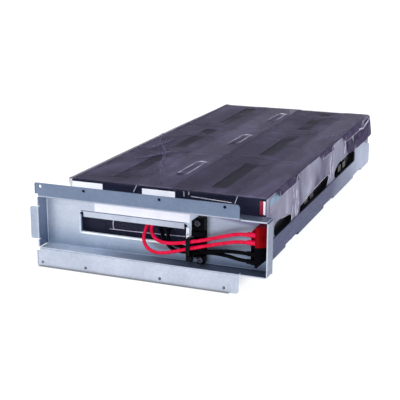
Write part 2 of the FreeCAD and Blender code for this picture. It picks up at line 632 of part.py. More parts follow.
# ----------------------------------------------------------- film and labels
def rounded_block(low, high):
    """Helper body: a block with wide front and rear edges and tight side edges."""
    block = helper_body()
    box_pad(block, low, high)
    names = [name for y in (low[1], high[1]) for z in (low[2], high[2])
             for name in edges_at(block, 1, y=y, z=z)]
    return block, names


def make_film():
    """Clear shrink film round all the batteries, torn open where leads and links are."""
    corners = ((FILM_LEFT, FILM_FRONT, TRAY_FLOOR), (FILM_RIGHT, FILM_BACK, FILM_TOP))
    outer, names = rounded_block(*corners)
    round_edges(outer, "film_corner", names)
    for x in (FILM_LEFT, FILM_RIGHT):
        round_edges(outer, "film_edge", edges_at(outer, 8, x=x))
    inner, names = rounded_block(tuple(f"{near} + film_gauge" for near in corners[0]),
                                 tuple(f"{far} - film_gauge" for far in corners[1]))
    round_edges(inner, "film_corner - film_gauge", names)
    for x in (f"{FILM_LEFT} + film_gauge", f"{FILM_RIGHT} - film_gauge"):
        round_edges(inner, "film_edge - film_gauge", edges_at(inner, 8, x=x))

    tools = [inner]
    low = f"({TRAY_FLOOR} + opening_low)"
    for name in ("first_opening", "second_opening", "third_opening"):
        start = f"{FILM_FRONT} + {name}"
        tools.append(helper_box((f"{FILM_RIGHT} - film_edge", start, low),
                                (f"{FILM_RIGHT} + 1", f"{start} + {name}_length", f"{low} + opening_height")))
    low = f"({TRAY_FLOOR} + exit_low)"
    lid_top = f"({column_left(0)} + battery_height)"
    tools.append(helper_box((lid_top, f"{FILM_FRONT} - 1", low),
                            (column_left(1), f"{FILM_FRONT} + film_corner", f"{low} + exit_height")))
    lid_top = f"({column_left(1)} + battery_height)"
    tools.append(helper_box((f"{lid_top} - 3", f"{FILM_FRONT} - 1", low),
                            (f"{FILM_RIGHT} + 1", f"{FILM_FRONT} + exit_return", f"{low} + exit_height")))
    joined = doc.addObject("Part::MultiFuse", "Openings")
    joined.Shapes = tools
    film = doc.addObject("Part::Cut", "Film")
    film.Base = outer
    film.Tool = joined
    keep("film_wrap", set_place(film))


def make_label(label, low, high):
    """Thin plain label between two corners."""
    box_pad(new_body(label), low, high)


def make_labels():
    """Blank labels on the film's front and right faces and in the pan."""
    top = f"({FILM_TOP} - label_drop)"
    low = f"({top} - label_height)"
    face = (f"{FILM_FRONT} - label_gauge", FILM_FRONT)
    for label, left, width in (("film_label_left", f"({FILM_LEFT} + left_label)", "left_label_width"),
                               ("film_label_middle", f"({FILM_LEFT} + middle_label)", "middle_label_width"),
                               ("film_label_right", f"({FILM_LEFT} + right_label)", "right_label_width")):
        make_label(label, (left, face[0], low), (f"{left} + {width}", face[1], top))
    start = f"({FILM_FRONT} + side_label)"
    make_label("film_label_side", (FILM_RIGHT, start, f"{top} - side_label_height"),
               (f"{FILM_RIGHT} + label_gauge", f"{start} + side_label_length", top))
    left = f"({PAN_LEFT} + pan_label_left)"
    low = f"({PAN_LOW} + pan_label_low)"
    make_label("pan_label", (left, f"{BACK_FACE} - label_gauge", low),
               (f"{left} + pan_label_width", BACK_FACE, f"{low} + pan_label_height"))


# ------------------------------------------------- edging, saddle, screws, tie
def make_window_edging():
    """Nylon edging on the window's left and lower edges, notched on its right edge."""
    edging = new_body("window_edging")
    top = f"({WINDOW_TOP} - edging_end)"
    fit = "edging_fit"

    def channel(front, back, outward, reach, inward):
        """Pad a U-shaped band that passes the window's edges, by reach on the right."""
        sketch = new_sketch(edging, "XZ_Plane", f"-({front})")
        left, right = f"{WINDOW_LEFT} - ({outward})", f"{WINDOW_RIGHT} + ({reach})"
        low = f"{WINDOW_LOW} - ({outward})"
        inner_left, inner_right = f"{WINDOW_LEFT} + {inward}", f"{WINDOW_RIGHT} - ({inward})"
        inner_low = f"{WINDOW_LOW} + {inward}"
        draw_polygon(sketch, [(left, top), (left, low), (right, low), (right, top), (inner_right, top),
                              (inner_right, inner_low), (inner_left, inner_low), (inner_left, top)])
        add_pad(edging, sketch, f"{back} - ({front})", reverse=True)

    front = f"({BACK_FACE} - {fit})"
    back = f"(pan_depth + {fit})"
    web = f"({fit} + edging_web)"
    channel(f"{front} - edging_wall", f"{back} + edging_wall", f"0 - {fit}", f"0 - {fit}", web)
    names = [name for x in (f"{WINDOW_LEFT} + {fit}", f"{WINDOW_RIGHT} - {fit}")
             for name in edges_at(edging, 1, x=x, z=f"{WINDOW_LOW} + {fit}")]
    round_edges(edging, f"window_corner - {fit}", names)
    names = [name for x in (f"{WINDOW_LEFT} + {web}", f"{WINDOW_RIGHT} - {web}")
             for name in edges_at(edging, 1, x=x, z=f"{WINDOW_LOW} + {web}")]
    round_edges(edging, f"window_corner - {web}", names)
    channel(f"{front} - edging_wall", front, "edging_leg", "tooth_reach", f"{web} / 2")
    channel(back, f"{back} + edging_wall", "edging_leg", "tooth_reach", f"{web} / 2")
    names = [name for x in (f"{WINDOW_LEFT} - edging_leg", f"{WINDOW_RIGHT} + tooth_reach")
             for name in edges_at(edging, 2, x=x, z=f"{WINDOW_LOW} - edging_leg")]
    round_edges(edging, "edging_leg", names)

    # gaps between the teeth, cut through both legs but not the web
    sketch = new_sketch(edging, "XZ_Plane", f"-({front} - edging_wall)")
    count = int(value(f"({top} - {WINDOW_LOW}) / tooth_pitch"))
    for index in range(count):
        level = f"({WINDOW_LOW} + tooth_pitch * {index + 0.5})"
        draw_rectangle(sketch, WINDOW_RIGHT, f"{level} - tooth_gap / 2",
                       f"{WINDOW_RIGHT} + tooth_reach + 1", f"{level} + tooth_gap / 2")
    add_pocket(edging, sketch, f"gauge + 2 * ({fit} + edging_wall)")


SADDLE_LEFT = f"({PAN_LEFT} + saddle_left)"
SADDLE_LOW = f"({PAN_FLOOR} + saddle_low)"
SADDLE_TOP = f"({SADDLE_LOW} + saddle_height)"
SCREW_UPPER = (f"({SADDLE_LEFT} + saddle_width / 2)", f"({SADDLE_TOP} - saddle_head / 2 + 0.8)")
SCREW_LOWER = (f"({SADDLE_LEFT} + (saddle_width + saddle_step) / 2)", f"({SADDLE_LOW} + saddle_foot / 2)")


def make_cable_saddle():
    """Moulded saddle: a thin base and three thick blocks, the outer two held by screws."""
    saddle = new_body("cable_saddle")
    right = f"{SADDLE_LEFT} + saddle_width"
    base = f"{BACK_FACE} - saddle_base"
    block = f"{BACK_FACE} - saddle_reach"
    box_pad(saddle, (SADDLE_LEFT, base, f"{SADDLE_LOW} + saddle_foot / 2"), (right, BACK_FACE, SADDLE_TOP))
    box_pad(saddle, (SADDLE_LEFT, block, f"{SADDLE_TOP} - saddle_head"), (right, BACK_FACE, SADDLE_TOP))
    box_pocket(saddle, (SADDLE_LEFT, block, f"{SADDLE_TOP} - shoulder_drop"),
               (f"{SADDLE_LEFT} + saddle_shoulder", BACK_FACE, SADDLE_TOP))
    cheek = f"({SADDLE_TOP} - cheek_low)"
    box_pad(saddle, (f"{SADDLE_LEFT} - cheek_shift", f"{block} - cheek_shift", cheek),
            (f"{right} - cheek_shift", BACK_FACE, f"{cheek} + cheek_height"))
    box_pad(saddle, (f"{SADDLE_LEFT} + saddle_step", block, SADDLE_LOW),
            (right, BACK_FACE, f"{SADDLE_LOW} + saddle_foot"))
    names = [name for x, z in ((SADDLE_LEFT, f"{SADDLE_TOP} - shoulder_drop"),
                               (f"{SADDLE_LEFT} + saddle_shoulder", SADDLE_TOP), (right, SADDLE_TOP),
                               (right, SADDLE_LOW), (f"{SADDLE_LEFT} + saddle_step", SADDLE_LOW))
             for name in edges_at(saddle, x=x, z=z)]
    names += edges_at(saddle, y=f"{block} - cheek_shift")
    round_edges(saddle, "saddle_corner", names)
    sketch = new_sketch(saddle, "XZ_Plane", f"-({block})")
    for across, up in (SCREW_UPPER, SCREW_LOWER):
        draw_circle(sketch, across, up, "screw_shank + screw_fit")
    add_pocket(saddle, sketch, "saddle_reach")
    # two low ridges that grip the leads
    for share in ("0.55", "0.85"):
        level = f"({SADDLE_LOW} + saddle_foot + (saddle_height - saddle_foot - cheek_low) * {share})"
        box_pad(saddle, (SADDLE_LEFT, f"{base} - ridge_rise", f"{level} - gauge / 2"),
                (right, base, f"{level} + gauge / 2"))


def make_saddle_screws():
    """The saddle's two cross-head screws."""
    shapes = []
    for across, up in (SCREW_UPPER, SCREW_LOWER):
        screw = helper_body()
        face = f"({BACK_FACE} - saddle_reach)"
        sketch = new_sketch(screw, "XZ_Plane", f"-({face} - screw_rise)")
        draw_circle(sketch, across, up, "screw_head")
        add_pad(screw, sketch, "screw_rise", reverse=True)
        round_edges(screw, "screw_rise * 0.6", edges_at(screw, 1, y=f"{face} - screw_rise"))
        sketch = new_sketch(screw, "XZ_Plane", f"-({face})")
        draw_circle(sketch, across, up, "screw_shank")
        add_pad(screw, sketch, "saddle_reach + gauge", reverse=True)
        for wide, tall in (("screw_head", "screw_slot"), ("screw_slot", "screw_head")):
            sketch = new_sketch(screw, "XZ_Plane", f"-({face} - screw_rise)")
            draw_rectangle(sketch, f"{across} - {wide} / 2", f"{up} - {tall} / 2",
                           f"{across} + {wide} / 2", f"{up} + {tall} / 2")
            add_pocket(screw, sketch, "screw_rise * 0.6")
        shapes.append(screw)
    joined = doc.addObject("Part::Compound", "Screws")
    joined.Links = shapes
    keep("saddle_screws", set_place(joined))


def make_cable_tie():
    """Flat tie closed round the leads beside the saddle, with its head below."""
    tie = new_body("cable_tie")
    left = f"({PAN_LEFT} + tie_left)"
    back = f"({BACK_FACE} - tie_gap)"
    low = f"({PAN_LOW} + tie_low)"
    front = f"({back} - tie_depth)"
    high = f"({low} + tie_height)"
    box_pad(tie, (left, front, low), (f"{left} + tie_width", back, high))
    sketch = new_sketch(tie, "YZ_Plane", f"{left} + tie_width")
    draw_rectangle(sketch, f"{front} + tie_gauge", f"{low} + tie_gauge",
                   f"{back} - tie_gauge", f"{high} - tie_gauge")
    add_pocket(tie, sketch, "tie_width")
    names = [name for y in (f"{front} + tie_gauge", f"{back} - tie_gauge")
             for z in (f"{low} + tie_gauge", f"{high} - tie_gauge")
             for name in edges_at(tie, 1, y=y, z=z)]
    round_edges(tie, "tie_corner - tie_gauge", names)
    names = [name for y in (front, back) for z in (low, high) for name in edges_at(tie, 1, y=y, z=z)]
    round_edges(tie, "tie_corner", names)
    middle = f"({front} + tie_depth / 2)"
    box_pad(tie, (f"{left} - (tie_head - tie_width) / 2", f"{middle} - tie_head / 2",
                  f"{low} - tie_head + tie_gauge"),
            (f"{left} + (tie_head + tie_width) / 2", f"{middle} + tie_head / 2", f"{low} + tie_gauge"))


# ------------------------------------------------------ connectors and leads
HOUSING_LEFT = f"({PAN_RIGHT} - gauge - housing_right - housing_width)"
HOUSING_FRONT = f"({BACK_FACE} - housing_gap - housing_depth)"
BLACK_LOW = f"({PAN_FLOOR} + housing_low)"
RED_LOW = f"({BLACK_LOW} + housing_height + housing_gap)"
PORT_DEEP = f"({HOUSING_FRONT} + port_set)"
MOUTH_BACK = f"({BACK_FACE} - housing_gap - mouth_wall)"


def make_housing(label, low, port, cut):
    """Power connector housing: two cable ports in its rib, one mating mouth on its right."""
    housing = new_body(label)
    right = f"({HOUSING_LEFT} + housing_width)"
    face = f"({HOUSING_FRONT} + rib_rise)"
    rear = f"({BACK_FACE} - housing_gap)"
    rib = f"({HOUSING_LEFT} + rib_left)"
    sketch = new_sketch(housing, "XY_Plane", low)
    draw_polygon(sketch, [(HOUSING_LEFT, face), (rib, face), (rib, HOUSING_FRONT),
                          (f"{rib} + rib_width", HOUSING_FRONT), (right, f"{HOUSING_FRONT} + housing_slope"),
                          (right, rear), (HOUSING_LEFT, rear)])
    add_pad(housing, sketch, "housing_height")
    sketch = new_sketch(housing, "XZ_Plane", f"-({HOUSING_FRONT})")
    high = f"({low} + housing_height)"
    if cut == "shoulder":
        draw_polygon(sketch, [(HOUSING_LEFT, f"{high} - shoulder_height"),
                              (f"{HOUSING_LEFT} + shoulder_width", high), (HOUSING_LEFT, high)])
    else:
        draw_polygon(sketch, [(f"{right} - heel_width", low), (right, low), (right, f"{low} + heel_height")])
    add_pocket(housing, sketch, "housing_depth")
    sketch = new_sketch(housing, "YZ_Plane", rib)
    for up in (f"{low} + {port}", f"{low} + {port} + port_pitch"):
        draw_circle(sketch, PORT_DEEP, up, "port_radius")
    add_pocket(housing, sketch, "port_depth", reverse=True)
    box_pocket(housing, (f"{right} - mouth_depth", f"{MOUTH_BACK} - mouth_width", f"{low} + mouth_low"),
               (right, MOUTH_BACK, f"{low} + mouth_low + mouth_height"))


def make_sleeves(label, low, port):
    """Short sleeves that thicken a plug's two leads just before its rib."""
    shapes = []
    right = f"({HOUSING_LEFT} + rib_left - sleeve_gap)"
    for up in (f"{low} + {port}", f"{low} + {port} + port_pitch"):
        sleeve = helper_body()
        sketch = new_sketch(sleeve, "YZ_Plane", f"{right} - sleeve_length")
        draw_circle(sketch, PORT_DEEP, up, "sleeve_radius")
        add_pad(sleeve, sketch, "sleeve_length")
        sketch = new_sketch(sleeve, "YZ_Plane", f"{right} - sleeve_length")
        draw_circle(sketch, PORT_DEEP, up, "lead_radius + boot_fit / 2")
        add_pocket(sleeve, sketch, "sleeve_length", reverse=True)
        shapes.append(sleeve)
    joined = doc.addObject("Part::Compound", "Sleeves")
    joined.Links = shapes
    keep(label, set_place(joined))


def make_contact(label, low):
    """Blade that stands from the bottom of a housing's mating mouth."""
    middle = f"({MOUTH_BACK} - mouth_width / 2)"
    up = f"({low} + mouth_low + mouth_height / 2)"
    start = f"({HOUSING_LEFT} + housing_width - mouth_depth)"
    box_pad(new_body(label), (start, f"{middle} - contact_gauge / 2", f"{up} - contact_width / 2"),
            (f"{start} + contact_length", f"{middle} + contact_gauge / 2", f"{up} + contact_width / 2"))


def terminal_back(row, end):
    """Middle of a battery's front (0) or rear (1) terminal."""
    inset = "terminal_inset" if end == 0 else "battery_length - terminal_inset"
    return f"({row_front(row)} + {inset})"


def make_boot(label, spots):
    """Insulated flag terminals: each spot is (column, row, end, exit), exit -1 to the front."""
    bodies = []
    for column, row, end, leave in spots:
        boot = helper_body()
        left = f"({column_left(column)} + battery_height + boot_lift)"
        right = f"({left} + boot_height)"
        middle = terminal_back(row, end)
        tail = f"({middle} - {leave} * boot_tail)"
        mouth = f"({tail} + {leave} * boot_length)"
        near, far = (mouth, tail) if leave < 0 else (tail, mouth)
        low, high = f"({TERMINAL_UP} - boot_width / 2)", f"({TERMINAL_UP} + boot_width / 2)"
        box_pad(boot, (left, near, low), (right, far, high))
        names = [name for z in (low, high) for name in edges_at(boot, 1, x=right, z=z)]
        round_edges(boot, "boot_corner", names)
        reach = "(terminal_height - tab_short + boot_fit - boot_lift)"
        thick, wide = "(tab_gauge / 2 + boot_fit)", "(tab_width / 2 + boot_fit)"
        box_pocket(boot, (left, f"{middle} - {thick}", f"{TERMINAL_UP} - {wide}"),
                   (f"{left} + {reach}", f"{middle} + {thick}", f"{TERMINAL_UP} + {wide}"))
        sketch = new_sketch(boot, "XZ_Plane", f"-({mouth})")
        draw_circle(sketch, f"{left} + boot_height / 2", TERMINAL_UP, "lead_radius + boot_fit")
        add_pocket(boot, sketch, "boot_socket", reverse=leave > 0)
        bodies.append(boot)
    if len(bodies) == 1:
        keep(label, set_place(bodies[0]))
        return
    joined = doc.addObject("Part::Compound", "Boots")
    joined.Links = bodies
    keep(label, set_place(joined))


def lead_start(column, row, end, leave):
    """Point inside a boot's socket where its lead begins, and the point at its mouth."""
    across = f"{column_left(column)} + battery_height + boot_lift + boot_height / 2"
    mouth = f"{terminal_back(row, end)} + {leave} * (boot_length - boot_tail)"
    return (across, f"{mouth} - {leave} * (boot_socket - boot_fit)", TERMINAL_UP)


def numbers(points):
    """Route points from formulas to vectors in the drawing datum."""
    return [Vector(*[value(part) for part in point[:3]]) for point in points]


def make_lead(label, points, widest=40.0):
    """Round lead through the points, its corners turned by tangent arcs.

    A point may carry a fourth number: the largest radius its arc may take.
    """
    spots = numbers(points)
    caps = [point[3] if len(point) > 3 else widest for point in points]
    radius = value("lead_radius")
    edges = []
    start = spots[0]
    radii = []
    for index in range(1, len(spots) - 1):
        before, corner, after = spots[index - 1:index + 2]
        enter = (corner - before).normalize()
        leave = (after - corner).normalize()
        turn = enter.getAngle(leave)
        run = min((corner - before).Length, (after - corner).Length)
        bend = min(0.45 * run / math.tan(turn / 2), caps[index])
        radii.append(bend)
        setback = bend * math.tan(turn / 2)
        first = corner - enter * setback
        last = corner + leave * setback
        inward = (leave - enter).normalize()
        middle = corner + inward * (bend / math.cos(turn / 2) - bend)
        edges.append(Part.LineSegment(start, first).toShape())
        edges.append(Part.Arc(first, middle, last).toShape())
        start = last
    edges.append(Part.LineSegment(start, spots[-1]).toShape())
    path = Part.Wire(edges)
    heading = (spots[1] - spots[0]).normalize()
    ring = Part.Wire([Part.Circle(spots[0], heading, radius).toShape()])
    tube = path.makePipeShell([ring], True, False)
    expected = math.pi * radius ** 2 * path.Length
    if abs(tube.Volume - expected) > 0.02 * expected:
        raise RuntimeError(f"{label}: the lead's volume is {tube.Volume:.0f}, not {expected:.0f}")
    item = doc.addObject("Part::Feature", "Lead")
    item.Shape = tube
    keep(label, set_place(item))
    print(label, "length", round(path.Length), "radii", [round(bend, 1) for bend in radii])


# ------------------------------------------------------------------- assembly
GAP = "(pan_depth + front_gap / 2 + 0.4)"
LAY = f"({BACK_FACE} - 7.8)"


def channel_points(column, level):
    """Gently waving run from the rear row to the front, over the terminals."""
    middle = f"({column_left(column)} + battery_height + boot_lift + boot_height / 2)"
    across = (1.2, 2.6) if column == 0 else (-0.3, 0.5)
    points = [(middle, f"{terminal_back(2, 1)} - 23", TERMINAL_UP)]
    total = value(f"{terminal_back(2, 1)} - 45 - ({FILM_FRONT} + 16)")
    steps = math.ceil(total / 56)
    for index in range(steps + 1):
        share = index / steps
        points.append((f"{middle} + {across[index % 2]}",
                       f"({terminal_back(2, 1)} - 45) * {1 - share} + ({FILM_FRONT} + 16) * {share}",
                       f"{level} + {0.7 * ((index + 1) % 2)}"))
    return points


def make_leads():
    """Two red and two black leads from the strings' ends, through the window, to the plugs."""
    inside = f"({HOUSING_LEFT} + rib_left + port_depth - boot_fit)"
    opening = WINDOW_LEFT
    red = [f"{RED_LOW} + red_port", f"{RED_LOW} + red_port + port_pitch"]
    black = [f"{BLACK_LOW} + black_port", f"{BLACK_LOW} + black_port + port_pitch"]
    plug = f"({HOUSING_LEFT} - 8.5)"
    floor = PAN_FLOOR

    over = f"({TERMINAL_UP} + 14.6)"
    make_lead("lead_red_left", [lead_start(0, 2, 1, -1)] + channel_points(0, over) + [
        (f"{opening} + 84.5", f"{GAP} + 0.1", f"{over} - 0.1", 5),
        (f"{opening} + 74.5", GAP, f"{floor} + 38.4"),
        (f"{opening} + 71.5", GAP, f"{floor} + 30.4"),
        (f"{opening} + 70.5", f"{LAY} + 2.5", f"{floor} + 18.9"),
        (f"{opening} + 77.5", f"{LAY} - 1", f"{floor} + 9.4"),
        (f"{opening} + 92", f"{LAY} - 1.2", f"{floor} + 7"),
        (f"{opening} + 121", f"{LAY} - 0.5", f"{floor} + 16"),
        (f"{opening} + 158", f"{LAY} - 1.2", f"{floor} + 26.6"),
        (plug, PORT_DEEP, red[0]),
        (inside, PORT_DEEP, f"{red[0]} + 0.01")])
    over = f"({TERMINAL_UP} + 12.6)"
    make_lead("lead_red_right", [lead_start(1, 2, 1, -1)] + channel_points(1, over) + [
        (f"{column_left(1)} + battery_height + 3.1", f"{GAP} + 0.1", f"{floor} + 42.6", 4),
        (f"{opening} + 175", GAP, f"{floor} + 41"),
        (f"{opening} + 127", f"{GAP} - 0.1", f"{floor} + 41.4"),
        (f"{opening} + 89", GAP, f"{floor} + 40.4"),
        (f"{opening} + 80.5", GAP, f"{floor} + 35.4"),
        (f"{opening} + 75.5", f"{GAP} - 0.5", f"{floor} + 29.9"),
        (f"{opening} + 80.5", f"{LAY} + 4.5", f"{floor} + 21.4"),
        (f"{opening} + 91", f"{LAY} + 0.8", f"{floor} + 17.9"),
        (f"{opening} + 105.5", LAY, f"{floor} + 18.8"),
        (f"{opening} + 134", f"{LAY} - 0.4", f"{floor} + 25.4"),
        (f"{opening} + 160", f"{LAY} - 1.2", f"{floor} + 34"),
        (plug, PORT_DEEP, red[1]),
        (inside, PORT_DEEP, f"{red[1]} + 0.01")])
    make_lead("lead_black_right", [lead_start(1, 0, 0, -1),
        (f"{column_left(1)} + battery_height + boot_lift + boot_height / 2", f"{GAP} + 0.1",
         TERMINAL_UP, 4),
        (f"{opening} + 175", GAP, f"{floor} + 33.9"),
        (f"{opening} + 137", f"{GAP} - 0.1", f"{floor} + 35.6"),
        (f"{opening} + 101", GAP, f"{floor} + 36"),
        (f"{opening} + 94", f"{GAP} - 0.6", f"{floor} + 28.4"),
        (f"{opening} + 96", f"{LAY} + 5.5", f"{floor} + 19.9"),
        (f"{opening} + 104.5", f"{LAY} + 4.4", f"{floor} + 15.6"),
        (f"{opening} + 116", f"{LAY} + 3.8", f"{floor} + 15.2"),
        (f"{opening} + 124.5", f"{LAY} + 3.6", f"{floor} + 15"),
        (f"{opening} + 137", f"{LAY} + 0.2", f"{floor} + 14.8"),
        (f"{opening} + 160", f"{LAY} - 1.2", f"{floor} + 18.6"),
        (plug, PORT_DEEP, black[1]),
        (inside, PORT_DEEP, f"{black[1]} + 0.01")])
    make_lead("lead_black_left", [lead_start(0, 0, 0, -1),
        (f"{column_left(0)} + battery_height + boot_lift + boot_height / 2", f"{GAP} + 2.1", TERMINAL_UP),
        (f"{opening} + 89.5", f"{LAY} + 7.5", f"{floor} + 22.9"),
        (f"{opening} + 98", f"{LAY} + 3.5", f"{floor} + 13.4"),
        (f"{opening} + 108", f"{LAY} + 3.6", f"{floor} + 10.2"),
        (f"{opening} + 119", f"{LAY} + 3.6", f"{floor} + 10.7"),
        (f"{opening} + 128.5", f"{LAY} + 3.9", f"{floor} + 11.4"),
        (f"{opening} + 143.3", f"{LAY} + 2.8", f"{floor} + 13.4"),
        (f"{opening} + 161", f"{LAY} - 0.6", f"{floor} + 13.6"),
        (plug, PORT_DEEP, black[0]),
        (inside, PORT_DEEP, f"{black[0]} + 0.01")])


make_front_pan()
make_battery_tray()
ROWS = int(value("rows"))
for column in (0, 1):
    for row in range(ROWS):
        make_case(column, row)
        make_lid(column, row)
        make_vent_cover(column, row)
        make_terminals(column, row)
make_film()
make_labels()
make_window_edging()
make_cable_saddle()
make_saddle_screws()
make_cable_tie()
make_housing("connector_red", RED_LOW, "red_port", "shoulder")
make_housing("connector_black", BLACK_LOW, "black_port", "heel")
make_sleeves("lead_sleeves_red", RED_LOW, "red_port")
make_sleeves("lead_sleeves_black", BLACK_LOW, "black_port")
make_contact("contact_red", RED_LOW)
make_contact("contact_black", BLACK_LOW)
for side, column in (("left", 0), ("right", 1)):
    make_boot(f"boot_red_{side}", [(column, ROWS - 1, 1, -1)])
    make_boot(f"boot_black_{side}", [(column, 0, 0, -1)])
    for row in range(ROWS - 1):
        make_boot(f"link_{row + 1}_{side}_boots", [(column, row, 1, 1), (column, row + 1, 0, -1)])
        ends = [lead_start(column, row, 1, 1), lead_start(column, row + 1, 0, -1)]
        make_lead(f"link_{row + 1}_{side}", ends)
make_leads()

# ------------------------------------------------------------ check and export
doc.recompute()
for item in doc.Objects:
    if {"Invalid", "Error"} & set(item.State):
        raise RuntimeError(f"{item.Label} did not recompute")
os.makedirs("parts", exist_ok=True)
for label, item in pieces.items():
    shape = item.Shape
    if shape.isNull() or not shape.isValid() or not shape.Solids:
        raise RuntimeError(f"{label} has no sound solid")
    shape.exportStep(f"parts/{label}.step")
    box = shape.BoundBox
    print(f"{label:28s} {len(shape.Solids)} solid(s) x {box.XMin:7.1f} {box.XMax:7.1f} "
          f"y {box.YMin:7.1f} {box.YMax:7.1f} z {box.ZMin:6.1f} {box.ZMax:6.1f}")
print(len(pieces), "sub-parts")
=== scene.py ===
"""Looks for the rack UPS battery cartridge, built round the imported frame.

Steel, batteries, edging, saddle and plugs keep their CAD meshes and get materials, and the
sheet and moulded parts fine bevels too. The shrink film is rebuilt as a creased sheet with
folds, tabs and flaps, and the leads as smooth tubes along the CAD routes. The frame is in
metres: +X right, +Y to the rear, +Z up.
"""

import bpy
import json
import math
import numpy as np
from mathutils import Matrix, Vector, noise


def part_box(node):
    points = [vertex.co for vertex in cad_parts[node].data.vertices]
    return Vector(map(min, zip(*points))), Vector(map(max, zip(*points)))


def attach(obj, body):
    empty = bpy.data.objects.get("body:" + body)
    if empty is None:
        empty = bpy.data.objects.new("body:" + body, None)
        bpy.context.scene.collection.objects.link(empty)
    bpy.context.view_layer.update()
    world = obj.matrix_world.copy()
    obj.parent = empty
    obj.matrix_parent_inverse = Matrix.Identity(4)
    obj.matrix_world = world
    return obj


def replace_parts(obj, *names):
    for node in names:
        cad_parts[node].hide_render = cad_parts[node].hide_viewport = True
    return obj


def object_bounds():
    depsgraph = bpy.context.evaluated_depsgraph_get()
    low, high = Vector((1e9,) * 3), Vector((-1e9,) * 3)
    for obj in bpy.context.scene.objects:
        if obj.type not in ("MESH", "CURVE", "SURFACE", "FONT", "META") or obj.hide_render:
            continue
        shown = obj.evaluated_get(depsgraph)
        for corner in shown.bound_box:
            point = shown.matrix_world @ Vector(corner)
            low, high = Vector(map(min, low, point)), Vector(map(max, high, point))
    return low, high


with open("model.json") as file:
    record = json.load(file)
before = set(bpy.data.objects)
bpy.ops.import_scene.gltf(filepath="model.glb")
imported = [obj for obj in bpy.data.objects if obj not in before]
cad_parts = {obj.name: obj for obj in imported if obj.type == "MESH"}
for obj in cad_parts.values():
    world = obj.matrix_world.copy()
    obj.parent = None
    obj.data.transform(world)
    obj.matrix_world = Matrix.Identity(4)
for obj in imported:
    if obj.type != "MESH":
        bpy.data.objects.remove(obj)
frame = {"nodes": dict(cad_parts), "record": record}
CAD_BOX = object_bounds()
nodes = frame["nodes"]
MM = 0.001


def at_x(millimetres):
    """Across position in metres, measured from the part's left end."""
    return CAD_BOX[0][0] + millimetres * MM


def at_z(millimetres):
    """Height in metres, measured from the part's underside."""
    return CAD_BOX[0][2] + millimetres * MM


# ------------------------------------------------------------------ node helpers
# most of a noise lies between these two values
NOISE_LOW, NOISE_HIGH = 0.3, 0.7


